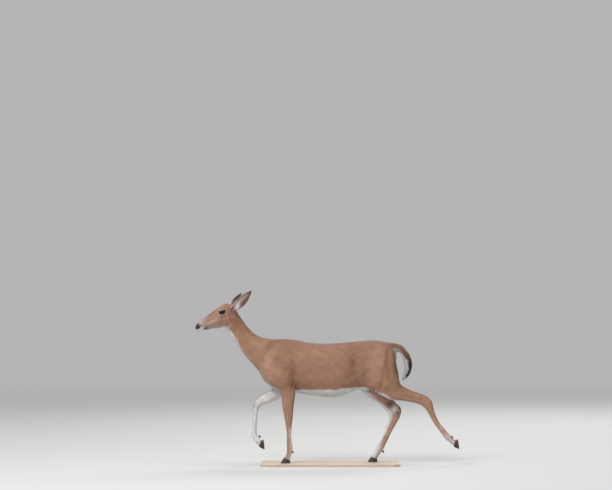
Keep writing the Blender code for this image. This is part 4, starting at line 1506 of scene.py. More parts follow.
@dataclass
class Eye:
    """One eye: its ball, its axes and the almond between its lids."""

    side: Side
    long_angle: float = math.radians(70)
    high_angle: float = math.radians(29)
    low_angle: float = math.radians(24)
    lean: float = 0.26
    power: float = 1.6

    def __post_init__(self) -> None:
        """Reads the ball's place from the frame and works out its axes."""
        low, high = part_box(f"eye_{self.side.name.lower()}")
        self.centre = 0.5 * (low + high)
        self.radius = 0.5 * (high.z - low.z)
        head = HEAD.matrix().to_3x3()
        self.out = (head @ Vector((-0.24, self.side.value, 0.12))).normalized()
        fore = head @ Vector((-math.cos(self.lean), 0, math.sin(self.lean)))
        self.fore = (fore - self.out * fore.dot(self.out)).normalized()
        self.up = self.out.cross(self.fore)
        if self.up.z < 0:
            self.up = -self.up

    def turn(self) -> Matrix:
        """Its axes as a matrix: towards the nose, up, and out."""
        third = self.fore.cross(self.up)
        return Matrix((self.fore, self.up, third)).transposed()

    def polar(self, points: Array) -> tuple[Array, Array, Array]:
        """Places as the eye sees them.

        Args:
            points: Places, one a row.

        Returns:
            Distance from the ball's centre, angle round the almond from the nose
            end, and how far out as a multiple of the almond.
        """
        offset = points - np.array(self.centre)
        reach = np.linalg.norm(offset, axis=1)
        open_way = np.arccos(np.clip(offset @ np.array(self.out) / reach, -1, 1))
        round_angle = np.arctan2(offset @ np.array(self.up), offset @ np.array(self.fore))
        return reach, round_angle, open_way / self.almond(round_angle)

    def almond(self, round_angle: Array) -> Array:
        """How wide the eye opens.

        Args:
            round_angle: Angles round the almond from the nose end.

        Returns:
            The opening's half angle at each, seen from the ball's centre.
        """
        high = np.where(np.sin(round_angle) > 0, self.high_angle, self.low_angle)
        flat = np.abs(np.cos(round_angle) / self.long_angle) ** self.power
        tall = np.abs(np.sin(round_angle) / high) ** self.power
        return (flat + tall) ** (-1 / self.power)

    def point(self, reach: Array, round_angle: Array, multiple: Array) -> Array:
        """World places from what polar gives.

        Args:
            reach: Distances from the ball's centre.
            round_angle: Angles round the almond from the nose end.
            multiple: How far out they are, as multiples of the almond.

        Returns:
            Places, one a row.
        """
        opening = multiple * self.almond(round_angle)
        across = np.cos(round_angle)[:, None] * np.array(self.fore)
        across = across + np.sin(round_angle)[:, None] * np.array(self.up)
        way = np.cos(opening)[:, None] * np.array(self.out) + np.sin(opening)[:, None] * across
        return np.array(self.centre) + reach[:, None] * way

    def part_lids(self, points: Array) -> Array:
        """Draws the skin back from the opening, and over the ball into lids.

        Args:
            points: The skin's places, one a row.

        Returns:
            Their new places.
        """
        reach, angle, multiple = self.polar(points)
        near = reach < self.radius + 0.018
        above = np.clip(np.sin(angle), 0, 1)
        lid = self.radius + 0.0022 + 0.0008 * above
        new = reach + fade(multiple, 1.95, 1.2) * (lid - reach)
        new -= 0.0016 * above * bell(multiple - 1.52, 0.13)  # the upper lid's crease
        new += 0.0012 * above * bell(multiple - 1.95, 0.22)  # the brow over it
        new = np.where(multiple < 1.0, self.radius - 0.0035, new)
        moved = points.copy()
        offset = unit(points - np.array(self.centre))
        moved[near] = np.array(self.centre) + (offset * new[:, None])[near]
        return moved


# Where the skin needs smaller faces: within these distances of an eye and of the lips
FINE_REACHES = ((0.031, 0.02), (0.0245, 0.0055))
NOSTRIL = (0.0075, 0.0215, 0.0005)


@dataclass
class Skin:
    """One closed skin over all the flesh, sculpted, unwrapped and marked."""

    eyes: tuple[Eye, Eye]
    markings: Markings
    voxel: float = 0.0025
    swell: float = 0.00045
    triangles: int = 125_000
    head_starts: float = -0.662
    blur: float = 0.5
    blur_steps: int = 8
    even_steps: int = 36
    restore_steps: int = 40
    depth_steps: int = 14
    carve: float = 1.5
    lips: tuple[float, float] = (0.0022, 0.0017)
    obj: Object = field(init=False, default=None)

    def build(self) -> "Skin":
        """Makes the whole skin.

        Returns:
            This skin.
        """
        self.node_map = NodeMap(FLESH + FILLERS)
        self.merge()
        self.refine()
        self.shape()
        self.unwrap()
        self.mark()
        return self

    def merge(self) -> None:
        """Joins the flesh into one mesh and simplifies it behind the head."""
        obj = copy_nodes(FLESH + FILLERS, "skin")
        swell = obj.modifiers.new("swell", "DISPLACE")
        swell.mid_level = 0.0
        swell.strength = self.swell
        remesh(obj, self.voxel)
        settle(obj)
        body = np.flatnonzero(places(obj.data)[:, 0] > self.head_starts)
        obj.vertex_groups.new(name="body").add(body.tolist(), 1.0, "REPLACE")
        simplify = obj.modifiers.new("simplify", "DECIMATE")
        simplify.ratio = self.triangles / (2 * len(obj.data.polygons))
        simplify.vertex_group = "body"
        settle(obj)
        obj.vertex_groups.clear()
        self.obj = obj

    def refine(self) -> None:
        """Gives the face smaller faces where it has fine features."""
        mesh = self.obj.data
        shape = bmesh.new()
        shape.from_mesh(mesh)
        for eye_reach, mouth_reach in FINE_REACHES:
            shape.faces.ensure_lookup_table()
            middles = np.array([face.calc_center_median()[:] for face in shape.faces])
            flat = HEAD.folded(middles)
            wanted = to_polyline(flat, list(LIPS))[0] < mouth_reach
            wanted |= np.linalg.norm(flat - NOSTRIL, axis=1) < 1.6 * mouth_reach
            for eye in self.eyes:
                away = np.linalg.norm(middles - np.array(eye.centre), axis=1)
                wanted |= away < eye_reach
            faces = [shape.faces[i] for i in np.flatnonzero(wanted)]
            edges = list({edge for face in faces for edge in face.edges})
            bmesh.ops.subdivide_edges(shape, edges=edges, cuts=1, use_grid_fill=True)
        bmesh.ops.triangulate(shape, faces=[f for f in shape.faces if len(f.verts) > 4])
        shape.to_mesh(mesh)
        shape.free()
        mesh.update()

    def shape(self) -> None:
        """Evens out the skin, sinks it under the coat and sculpts it."""
        mesh = self.obj.data
        points, edges = places(mesh), edge_pairs(mesh)
        self.nodes = self.node_map.nearest(points)
        evenness = by_kind(self.nodes, EVENNESS, 0.12)
        strength = relax(evenness, edges, self.blur_steps, self.blur)
        evened = relax(points, edges, self.even_steps, strength)
        put_back(mesh, evened)
        facing = normals(mesh)
        lost = relax(((points - evened) * facing).sum(1), edges, self.restore_steps, self.blur)
        points = evened + facing * lost[:, None]
        put_back(mesh, points)
        depth = by_kind(self.nodes, COAT_DEPTH, 0.0011)
        depth = relax(depth, edges, self.depth_steps, self.blur)
        points = points - normals(mesh) * depth[:, None]
        put_back(mesh, points)
        facing = normals(mesh)
        points = points + facing * self.strokes(points, facing)[:, None]
        points = self.sink_nose(self.meet_hooves(self.stretch_flank(points)))
        for eye in self.eyes:
            points = eye.part_lids(points)
        put_back(mesh, points)
        mesh.polygons.foreach_set("use_smooth", np.ones(len(mesh.polygons), bool))

    def strokes(self, points: Array, facing: Array) -> Array:
        """How far every stroke together moves each point outwards.

        Args:
            points: The skin's places, one a row.
            facing: Its normals there.

        Returns:
            One distance for each.
        """
        height = np.zeros(len(points))
        flat = points * (1, 0, 1) - (0, 0, GROUND)
        sideways = fade(np.abs(facing[:, 1]), 0.2, 0.65)
        words = ("fore_", "hind_", *LEGS)
        on = {word: np.char.find(self.nodes, word) >= 0 for word in words}
        legs = on["fore_"] | on["hind_"]
        upper = np.char.endswith(self.nodes, "upper")
        body = (~legs | upper) & (points[:, 2] > 0.5) & (points[:, 0] > -0.72)
        jobs = [(body, stroke) for stroke in BODY_STROKES]
        jobs += [(on[leg], stroke) for leg, strokes in LEG_STROKES.items() for stroke in strokes]
        for where, stroke in jobs:
            distance, _ = to_polyline(flat, [(x, 0, z) for x, z in stroke.line])
            reach = where if stroke.all_round else sideways * where
            height += stroke.height * bell(distance, stroke.radius) * reach
        height *= self.carve
        head = np.isin(self.nodes, ("head", "nose_pad", "eye_left", "eye_right"))
        own = HEAD.folded(points)
        for stroke in HEAD_STROKES:
            distance, _ = to_polyline(own, list(stroke.line))
            height += stroke.height * bell(distance, stroke.radius) * head
        distance, _ = to_polyline(own, list(LIPS))
        return height - self.lips[0] * bell(distance, self.lips[1]) * head

    def stretch_flank(self, points: Array) -> Array:
        """Draws down the fold of skin before the left stifle, as that leg's stride does.

        Args:
            points: The skin's places, one a row.

        Returns:
            Their new places.
        """
        reach = fade(points[:, 1], -0.02, -0.05) * fade(points[:, 2] - GROUND, 0.66, 0.54)
        reach *= bell(points[:, 0] - 0.287, 0.045)
        return points - (0.029 * reach)[:, None] * (0.0, 0.0, 1.0)

    def meet_hooves(self, points: Array) -> Array:
        """Lets each pastern's end reach down into its claws.

        Args:
            points: The skin's places, one a row.

        Returns:
            Their new places.
        """
        moved = points.copy()
        for leg in LEGS:
            low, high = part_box(f"hoof_{leg}_left")
            other_low, other_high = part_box(f"hoof_{leg}_right")
            middle = np.array(0.25 * (low + high + other_low + other_high))
            near = np.linalg.norm(points - middle, axis=1)
            down = unit(middle - np.array(limb_line(leg)[4]))
            moved += 0.0045 * fade(near, 0.034, 0.026)[:, None] * down
        return moved

    def sink_nose(self, points: Array) -> Array:
        """Draws the skin in under the nose pad, so that its nostrils are open.

        Args:
            points: The skin's places, one a row.

        Returns:
            Their new places.
        """
        own = HEAD.own(points)
        middle, radii = np.array((0.0, 0.0, -0.003)), np.array((0.0175, 0.0205, 0.015))
        inside = np.linalg.norm((own - middle) / radii, axis=1)
        back = fade(inside, 1.06, 0.97) * fade(own[:, 0], 0.016, 0.01)
        own -= (own - middle) * (0.22 * back)[:, None]
        return np.where((back > 0)[:, None], carried(own, HEAD.matrix()), points)

    def unwrap(self) -> None:
        """Lays the skin out flat, so that each tuft can read its own place."""
        self.obj.data.uv_layers.new(name=BAKE_MAP)
        with editing(self.obj):
            bpy.ops.uv.smart_project(angle_limit=math.radians(70), island_margin=0.001)

    def mark(self) -> None:
        """Colours the skin."""
        mesh = self.obj.data
        points, facing = places(mesh), normals(mesh)
        self.nodes = self.node_map.nearest(points)
        write_colours(mesh, MARKING, 0.92 * self.markings.colours(points, facing, self.nodes))

    def dress(self, material: Material) -> Object:
        """Gives the skin its finish and fixes it to the frame."""
        return hand_in(self.obj, "coat", material, tuple(FLESH))


# The coat


@dataclass(frozen=True)
class CoatCut:
    """The hair of one zone: a tuft's length, width and rise, and how thickly they grow."""

    length: float
    width: float
    rise: float
    layers: float


CUTS = {
    Zone.TRUNK: CoatCut(0.016, 0.0015, 0.002, 1.95),
    Zone.NECK: CoatCut(0.0145, 0.0013, 0.0018, 2.0),
    Zone.HEAD: CoatCut(0.0062, 0.001, 0.0009, 1.7),
    Zone.EAR: CoatCut(0.0065, 0.001, 0.0007, 1.1),
    Zone.TAIL: CoatCut(0.025, 0.0018, 0.008, 3.6),
    Zone.UPPER_LEG: CoatCut(0.0125, 0.0014, 0.0016, 1.95),
    Zone.LOWER_LEG: CoatCut(0.0075, 0.0011, 0.0009, 1.7),
    Zone.BARE: CoatCut(0.003, 0.0008, 0.0005, 0.0),
}


def zones_of(nodes: Array) -> Array:
    """The zone that each node belongs to.

    Args:
        nodes: Node names.

    Returns:
        The zone's number for each.
    """
    table = {"trunk": Zone.TRUNK, "neck": Zone.NECK, "head": Zone.HEAD, "ear": Zone.EAR,
             "tail": Zone.TAIL, "upper": Zone.UPPER_LEG, "cannon": Zone.LOWER_LEG,
             "pastern": Zone.LOWER_LEG}
    numbers = {word: float(zone.value) for word, zone in table.items()}
    return by_kind(nodes, numbers, float(Zone.BARE.value)).astype(int)


# A tuft's bends from its root: the share of its length, of its width and of its rise
LONG_BENDS = ((0.3, 1.0, 0.6), (0.68, 0.8, 0.95))
SHORT_BENDS = ((0.45, 1.0, 0.62),)


def tuft_faces(bends: int) -> list[tuple]:
    """The faces of one tuft: a root, three corners at each bend, and a tip.

    Args:
        bends: How many bends it has.

    Returns:
        Three corners a face.
    """
    faces = [(0, 1, 2), (0, 2, 3)]
    for bend in range(bends - 1):
        low, high = 1 + 3 * bend, 4 + 3 * bend
        faces += [(low, high + 1, low + 1), (low, high, high + 1)]
        faces += [(low + 1, high + 2, low + 2), (low + 1, high + 1, high + 2)]
    last, tip = 3 * bends - 2, 3 * bends + 1
    return faces + [(last, tip, last + 1), (last + 1, tip, last + 2)]


def repeated(faces: list[tuple], times: int, each: int) -> Array:
    """One shape's faces, repeated for as many shapes with so many corners each."""
    return (np.arange(times)[:, None, None] * each + np.array(faces)).reshape(-1, 3)


@dataclass
class Coat:
    """Tufts over the whole skin, in pieces small enough to be handed on."""

    skin: Skin
    markings: Markings
    seed: int = 11
    patch_size: float = 0.003
    most_tufts: int = 48_000
    turn: float = 0.45
    ridge: float = 0.22
    sunk: float = 0.0004
    blur_steps: int = 14

    def build(self, materials: dict[str, Material]) -> None:
        """Plants, shapes and colours every tuft.

        Args:
            materials: The finishes by slot name.
        """
        self.rng = np.random.default_rng(self.seed)
        self.measure_skin()
        self.plant()
        self.comb()
        for name, chosen in self.pieces():
            for part, few in enumerate(np.array_split(chosen, -(-len(chosen) // self.most_tufts))):
                slot = {"tail": "tail_coat", "ears": "ear_coat"}.get(name, "coat")
                slot = "leg_coat" if name.endswith("legs") else slot
                long = name in ("tail", "ears")
                self.tufts(f"coat_{name}_{part + 1}", few, long, slot, materials[slot])

    def measure_skin(self) -> None:
        """Reads the skin's triangles, and sets the hair's cut at each vertex."""
        mesh = self.skin.obj.data
        mesh.calc_loop_triangles()
        self.corners = read(mesh.loop_triangles, "vertices", 3, int)
        loops = read(mesh.loop_triangles, "loops", 3, int)
        self.flat = read(mesh.uv_layers[BAKE_MAP].data, "uv", 2)[loops]
        self.points, self.facing = places(mesh), normals(mesh)
        a, b, c = (self.points[self.corners[:, i]] for i in range(3))
        self.area = 0.5 * np.linalg.norm(np.cross(b - a, c - a), axis=1)
        self.tree = BVHTree.FromPolygons(self.points.tolist(), self.corners.tolist())
        zones = zones_of(self.skin.nodes)
        sizes = [(c.length, c.width, c.rise, c.layers) for c in (CUTS[z] for z in Zone)]
        cut = np.array(sizes)[zones]
        self.vary(cut, zones)
        cut[:, :3] = relax(cut[:, :3], edge_pairs(mesh), self.blur_steps, 0.5)
        self.cut, self.zones = cut, zones

    def vary(self, cut: Array, zones: Array) -> None:
        """Changes the cut within zones: finer on the face, longer under the belly.

        Args:
            cut: Each vertex's length, width, rise and layers, which it changes.
            zones: Each vertex's zone.
        """
        points = self.points
        back = HEAD.own(points)[:, 0]
        head = zones == Zone.HEAD.value
        face = (0.55 + 0.45 * fade(back, 0.02, 0.15) + 0.45 * fade(back, 0.2, 0.28))[head]
        cut[head, 0] *= face
        cut[head, 1] *= 0.5 + 0.5 * face
        cut[head, 2] *= face
        trunk = zones == Zone.TRUNK.value
        low = fade(self.facing[:, 2], -0.2, -0.8)
        cut[:, 0] *= np.where(trunk, 1 + 0.35 * low, 1.0)
        rump = fade(points[:, 0], 0.41, 0.45) * fade(np.abs(points[:, 1]), 0.06, 0.04)
        cut[:, 0] *= np.where(trunk, 1 + 0.9 * rump, 1.0)
        cut[:, 2] *= np.where(trunk, 1 + 2.6 * rump, 1.0)
        for eye in self.skin.eyes:
            reach, _, multiple = eye.polar(points)
            around = (reach < eye.radius + 0.012) & (multiple < 1.75)
            cut[around, :3] *= 0.6
            cut[(reach < eye.radius + 0.008) & (multiple < 1.12), 3] = 0.0

    def bare(self, points: Array) -> Array:
        """Whether places are on the nose's leather or on the line where the lips meet."""
        flat = HEAD.folded(points)
        return (nose_skin(flat) > 0.45) | (to_polyline(flat, list(LIPS))[0] < 0.002)

    def plant(self) -> None:
        """Chooses a root for every tuft, spread evenly over the skin."""
        cut = self.cut[self.corners].mean(1)
        wanted = self.area * cut[:, 3] / (0.5 * cut[:, 0] * cut[:, 1])
        steps = np.cumsum(wanted)
        picks = np.arange(0.5, steps[-1], 1.0)
        face = np.searchsorted(steps, picks)
        one, two = self.rng.random((2, len(face)))
        over = one + two > 1
        one[over], two[over] = 1 - one[over], 1 - two[over]
        weights = np.stack([1 - one - two, one, two], 1)
        corner = self.corners[face]
        self.root = (self.points[corner] * weights[..., None]).sum(1)
        haired = ~self.bare(self.root)
        face, corner, weights = face[haired], corner[haired], weights[haired]
        self.root = self.root[haired]
        self.up = unit((self.facing[corner] * weights[..., None]).sum(1))
        self.uv = (self.flat[face] * weights[..., None]).sum(1)
        self.size = (self.cut[corner] * weights[..., None]).sum(1)
        self.node = self.skin.nodes[corner[:, 0]]
        self.zone = self.zones[corner[:, 0]]
        log.info("coat: %d tufts", len(face))

    def comb(self) -> None:
        """Lays every tuft along the coat, and gives each its own small differences."""
        count = len(self.root)
        lie = lie_of_coat(self.root, self.up)
        stray = self.rng.normal(0.0, 0.11, count)
        side = np.cross(self.up, lie)
        self.lie = unit(lie + stray[:, None] * side)
        self.side = np.cross(self.up, self.lie)
        self.size[:, 0] *= self.rng.uniform(0.75, 1.25, count)
        self.size[:, 1] *= self.rng.uniform(0.75, 1.25, count)
        self.size[:, 2] *= self.rng.uniform(0.7, 1.12, count)
        colours = self.markings.colours(self.root, self.up, self.node)
        tone = 1 + self.rng.normal(0.0, 0.07, count)
        warm = self.rng.normal(0.0, 0.025, count)
        tint = np.stack([tone * (1 + warm), tone, tone * (1 - warm)], 1)
        self.colour = np.clip(colours * tint, 0.0, 0.92)

    def pieces(self) -> list[tuple[str, Array]]:
        """The tufts, parted by where they grow.

        Returns:
            Each part's name and its tufts' numbers.
        """
        x, y = self.root[:, 0], self.root[:, 1]
        trunk, neck, head, ears, tail, upper, lower, _ = (self.zone == z.value for z in Zone)
        fore = np.char.startswith(self.node, "fore")
        ribs = trunk & (x >= -0.16) & (x < 0.2)
        masks = {
            "head": head,
            "ears": ears,
            "neck": neck,
            "tail": tail,
            "shoulders": (trunk & (x < -0.16)) | (upper & fore),
            "ribs_left": ribs & (y < 0),
            "ribs_right": ribs & (y >= 0),
            "rump": trunk & (x >= 0.2),
            "thighs": upper & ~fore,
            "fore_legs": lower & fore,
            "hind_legs": lower & ~fore,
        }
        return [(name, np.flatnonzero(mask)) for name, mask in masks.items()]

    def surface(self, points: Array) -> tuple[Array, Array]:
        """The nearest places on the skin, and the skin's normals there."""
        found = [self.tree.find_nearest(point)[:2] for point in points.tolist()]
        return np.array([f[0] for f in found]), np.array([f[1] for f in found])

    def tufts(self, name: str, few: Array, long: bool, slot: str, material: Material) -> None:
        """Makes one piece of the coat.

        Args:
            name: The piece's name.
            few: The numbers of its tufts.
            long: Whether its tufts hang free and have one more bend.
            slot: A name passed on to hand_in.
            material: Its finish.
        """
        root, up, lie, side = (a[few] for a in (self.root, self.up, self.lie, self.side))
        length, width, rise = self.size[few, 0], self.size[few, 1], self.size[few, 2]
        none, one = np.zeros(len(few)), np.ones(len(few))
        bends = LONG_BENDS if long else SHORT_BENDS
        rows, shades, strand, along = [root - up * self.sunk], [up], [none], [none]
        for share, wide, high in bends:
            middle, up_here = root + lie * (share * length)[:, None], up
            if not long:
                middle, up_here = self.surface(middle)
            middle = middle + up_here * (high * rise)[:, None]
            half = side * (0.5 * wide * width)[:, None]
            ridge = up_here * (self.ridge * width)[:, None]
            rows += [middle - half - ridge, middle, middle + half - ridge]
            shades += [up_here - self.turn * side, up_here, up_here + self.turn * side]
            strand += [-one, none, one]
            along += [share * one] * 3
        tip = root + lie * length[:, None]
        if not long:
            tip, up_here = self.surface(tip)
        fall = self.rng.uniform(0.72, 1.08, len(few))
        rows.append(tip + up_here * (fall * rise)[:, None])
        shades.append(up_here + 0.12 * lie)
        strand.append(none)
        along.append(one)
        points = np.stack(rows, 1).reshape(-1, 3)
        table = repeated(tuft_faces(len(bends)), len(few), len(rows))
        obj = mesh_object(name, points, table)
        rounded = unit(np.stack(shades, 1).reshape(-1, 3))
        obj.data.normals_split_custom_set_from_vertices(rounded.tolist())
        self.colour_tufts(obj.data, few, np.stack(strand, 1), np.stack(along, 1), table)
        hand_in(obj, slot, material)

    def colour_tufts(
        self, mesh: Mesh, few: Array, strand: Array, along: Array, table: Array
    ) -> None:
        """Writes the tufts' colours, strands and places on the unwrap.

        Args:
            mesh: The piece's mesh.
            few: The numbers of its tufts.
            strand: Each vertex's place across its tuft, from -1 to 1.
            along: Each vertex's place along its tuft, from 0 to 1.
            table: The faces' corners.
        """
        write_colours(mesh, MARKING, np.repeat(self.colour[few], strand.shape[1], axis=0))
        start = self.rng.uniform(0, 400, (len(few), 2))
        rows = np.stack([start[:, :1] + 1.9 * strand, start[:, 1:] + 0.8 * along, along], 2)
        layer = mesh.attributes.new(STRAND, "FLOAT_VECTOR", "POINT")
        layer.data.foreach_set("vector", rows.astype(np.float32).ravel())
        flat = np.stack([0.5 * strand, along - 0.5], 2) * self.patch_size
        flat = (self.uv[few][:, None, :] + flat).reshape(-1, 2)[table.ravel()]
        mesh.uv_layers.new(name=BAKE_MAP).data.foreach_set("uv", flat.astype(np.float32).ravel())


# Eyes, lids, nose, hooves, base


@dataclass
class Eyeball:
    """The visible ball, with its clear front bulging a little."""

    eye: Eye
    bulge: float = 0.0007

    def build(self) -> Object:
        """Makes the ball and its finish.

        Returns:
            The ball.
        """
        eye = self.eye
        bpy.ops.object.select_all(action="DESELECT")
        bpy.ops.mesh.primitive_uv_sphere_add(segments=56, ring_count=36, radius=eye.radius)
        ball = bpy.context.view_layer.objects.active
        ball.name = f"eyeball_{eye.side.name.lower()}"
        points = places(ball.data)
        angle = np.arccos(np.clip(np.abs(points[:, 2]) / eye.radius, -1, 1))
        points *= (1 + self.bulge / eye.radius * fade(angle, 0.75, 0.25))[:, None]
        matrix = Matrix.Translation(eye.centre) @ eye.turn().to_4x4()
        put_back(ball.data, carried(points, matrix))
        smooth(ball)
        finish = EyeFinish(eye.centre, eye.turn().to_euler()).build()
        return hand_in(ball, "eye", finish, (f"eye_{eye.side.name.lower()}",))


@dataclass
class LidRim:
    """The dark bare edge of both lids, a rounded ring round the opening."""

    eye: Eye
    around: int = 72
    profile: tuple = ((0.9, -0.0012), (0.96, 0.0006), (1.02, 0.0019), (1.11, 0.0029),
                      (1.22, 0.0032), (1.34, 0.002), (1.24, -0.001), (1.02, -0.0016))

    def build(self, material: Material) -> Object:
        """Makes the ring.

        Args:
            material: Its leather.

        Returns:
            The ring.
        """
        eye = self.eye
        angle = np.linspace(0, 2 * math.pi, self.around, endpoint=False)
        upper = np.clip(np.sin(angle), 0, 1)
        rows = []
        for multiple, lift in self.profile:
            reach = eye.radius + lift + 0.0004 * upper * (lift > 0)
            rows.append(eye.point(reach, angle, np.full(self.around, multiple)))
        count = len(rows)
        points = np.stack(rows, 1).reshape(-1, 3)
        faces = []
        for i in range(self.around):
            a, b = i * count, ((i + 1) % self.around) * count
            for j in range(count):
                k = (j + 1) % count
                faces.append((a + j, b + j, b + k, a + k))
        ring = mesh_object(f"lid_rim_{eye.side.name.lower()}", points, np.array(faces))
        with editing(ring):
            bpy.ops.mesh.normals_make_consistent(inside=False)
        return hand_in(ring, "eye", material)


@dataclass
class Bristles:
    """Single stiff hairs: lashes and whiskers, each a thin curved cone."""

    name: str
    roots: Array
    ways: Array
    droops: Array
    lengths: Array
    thickness: float

    def build(self, material: Material, slot: str) -> Object:
        """Makes them as one mesh.

        Args:
            material: Their finish.
            slot: A name passed on to hand_in.

        Returns:
            The mesh's object.
        """
        aside = unit(np.cross(self.ways, np.array((0.31, 0.22, 0.92))))
        other = np.cross(self.ways, aside)
        rows = []
        for share in (0.0, 0.35, 0.7):
            reach = (share * self.lengths)[:, None]
            middle = self.roots + self.ways * reach + self.droops * reach * share
            thick = self.thickness * (1 - 0.8 * share)
            for angle in (0.0, 2.094, 4.189):
                rows.append(middle + thick * (math.cos(angle) * aside + math.sin(angle) * other))
        reach = self.lengths[:, None]
        rows.append(self.roots + self.ways * reach + self.droops * reach)
        points = np.stack(rows, 1).reshape(-1, 3)
        faces = [(0, 2, 1)]
        for low in (0, 3):
            for i in range(3):
                j = (i + 1) % 3
                faces += [(low + i, low + j, low + 3 + j), (low + i, low + 3 + j, low + 3 + i)]
        faces += [(6, 7, 9), (7, 8, 9), (8, 6, 9)]
        table = repeated(faces, len(self.roots), len(rows))
        return hand_in(mesh_object(self.name, points, table), slot, material)


def lashes(eye: Eye) -> Bristles:
    """The long upper lashes and the short lower ones of one eye.

    Args:
        eye: The eye.

    Returns:
        The lashes.
    """
    rng = np.random.default_rng(21)
    angle = np.concatenate([np.linspace(0.35, 2.75, 30), np.linspace(-2.5, -0.6, 12)])
    angle = angle + rng.normal(0, 0.03, len(angle))
    upper = np.sin(angle) > 0
    root = eye.point(np.full(len(angle), eye.radius + 0.0022), angle, np.full(len(angle), 1.1))
    out, up = np.array(eye.out), np.array(eye.up)
    fan = np.cos(angle)[:, None] * np.array(eye.fore)
    ways = unit(out * 0.85 + fan * 0.45 + np.where(upper, 0.25, -0.45)[:, None] * up)
    droops = np.where(upper, -0.3, -0.15)[:, None] * up + rng.normal(0, 0.05, (len(angle), 3))
    lengths = np.where(upper, 0.0085, 0.0045) * rng.uniform(0.75, 1.15, len(angle))
    return Bristles(f"lashes_{eye.side.name.lower()}", root, ways, droops, lengths, 0.00016)


def whiskers() -> Bristles:
    """Fine dark whiskers on the lips and the chin.

    Returns:
        The whiskers.
    """
    rng = np.random.default_rng(33)
    roots, ways = [], []
    head = np.array(HEAD.matrix().to_3x3())
    for side in Side:
        for _ in range(26):
            back = rng.uniform(0.014, 0.046)
            up = rng.uniform(-0.012, 0.002) if rng.random() < 0.6 else rng.uniform(-0.038, -0.026)
            roots.append(tuple(HEAD.world(back, side.value * (0.0235 - 0.004 * (up < -0.02)), up)))
            way = np.array((rng.uniform(-0.35, 0.25), side.value, rng.uniform(-0.7, 0.1)))
            ways.append(head @ unit(way))
    count = len(roots)
    lengths = rng.uniform(0.012, 0.034, count)
    droops = np.tile((0.0, 0.0, -0.22), (count, 1)) + rng.normal(0, 0.06, (count, 3))
    return Bristles("whiskers", np.array(roots), np.array(ways), droops, lengths, 0.00012)


@dataclass
class Nose:
    """The bare nose pad: finely pebbled, cleft down the middle, with open nostrils."""

    voxel: float = 0.0008

    def build(self, material: Material) -> Object:
        """Makes the pad.

        Args:
            material: Its leather.

        Returns:
            The pad.
        """
        obj = copy_nodes(["nose_pad"], "nose")
        remesh(obj, self.voxel)
        settle(obj)
        points = relax(places(obj.data), edge_pairs(obj.data), 8, 0.5)
        put_back(obj.data, points)
        own = HEAD.folded(points)
        nostril = [(0.0005, 0.012, 0.0045), (0.005, 0.016, 0.004), (0.01, 0.0195, -0.001)]
        distance, _ = to_polyline(own, nostril)
        cleft = bell(own[:, 1], 0.0011) * fade(own[:, 2], 0.01, 0.0)
        wing = bell(own[:, 1] - 0.0125, 0.004) * fade(own[:, 0], 0.0, -0.01)
        hole = 0.0042 * bell(distance, 0.0028)
        points = points + normals(obj.data) * (0.0006 * wing - 0.0013 * cleft - hole)[:, None]
        put_back(obj.data, points)
        smooth(obj)
        return hand_in(obj, "nose", material, ("nose_pad",))


@dataclass
class LipLine:
    """The dark edge where the lips meet, from one corner of the mouth to the other."""

    radius: float = 0.0011
    proud: float = 0.0003
    stations: int = 40

    def build(self, skin: Object, material: Material) -> Object:
        """Makes the edge.

        Args:
            skin: The finished skin, on which it lies.
            material: Its leather.

        Returns:
            The edge.
        """
        left = np.array(LIPS) * (1, -1, 1)
        line = np.concatenate([np.array(LIPS)[::-1], left[1:]])
        marks = np.linspace(0, len(line) - 1, self.stations)
        path = np.stack([np.interp(marks, np.arange(len(line)), line[:, i]) for i in range(3)], 1)
        path = carried(path, HEAD.matrix())
        faces = [list(face.vertices) for face in skin.data.polygons]
        tree = BVHTree.FromPolygons(places(skin.data).tolist(), faces)
        found = [tree.find_nearest(point)[:2] for point in path.tolist()]
        rows = np.array([(*(place + self.proud * way), 1.0) for place, way in found])
        curve = bpy.data.curves.new("lip_line", "CURVE")
        curve.dimensions = "3D"
        curve.bevel_depth, curve.bevel_resolution = self.radius, 2
        curve.use_fill_caps = True
        spline = curve.splines.new("POLY")
        spline.points.add(self.stations - 1)
        spline.points.foreach_set("co", rows.ravel())
        taper = np.sqrt(np.sin(np.linspace(0.02, math.pi - 0.02, self.stations)))
        spline.points.foreach_set("radius", taper)
        choose(linked("lip_line", curve))
        bpy.ops.object.convert(target="MESH")
        obj = bpy.context.view_layer.objects.active
        with editing(obj):
            bpy.ops.mesh.remove_doubles(threshold=0.00002)
            bpy.ops.mesh.normals_make_consistent(inside=False)
        smooth(obj)
        obj.data.materials.clear()
        return hand_in(obj, "nose", material)


@dataclass
class NoseSurround:
    """The bare skin round the nose pad, drawn from the muzzle and as finely pebbled."""

    lift: float = 0.0005
    wall: float = 0.0014

    def build(self, skin: Object, material: Material) -> Object:
        """Makes the surround.

        Args:
            skin: The finished skin, whose muzzle it is copied from.
            material: The nose's leather.

        Returns:
            The surround.
        """
        obj = linked("nose_surround", skin.data.copy())
        mesh = obj.data
        mesh.materials.clear()
        points = places(mesh)
        own = HEAD.folded(points)
        share = nose_skin(own)
        bare = (share > 0.15) & (own[:, 0] < 0.06)
        lift = self.lift - 2 * self.lift * fade(share, 0.62, 0.3)
        put_back(mesh, points + lift[:, None] * normals(mesh))
        with editing(obj, "FACE", "DESELECT"):
            pass
        for face in mesh.polygons:
            face.select = not all(bare[corner] for corner in face.vertices)
        bpy.ops.object.mode_set(mode="EDIT")
        bpy.ops.mesh.delete(type="FACE")
        bpy.ops.object.mode_set(mode="OBJECT")
        wall = obj.modifiers.new("wall", "SOLIDIFY")
        wall.thickness, wall.offset = self.wall, -1.0
        settle(obj)
        smooth(obj)
        return hand_in(obj, "nose", material)


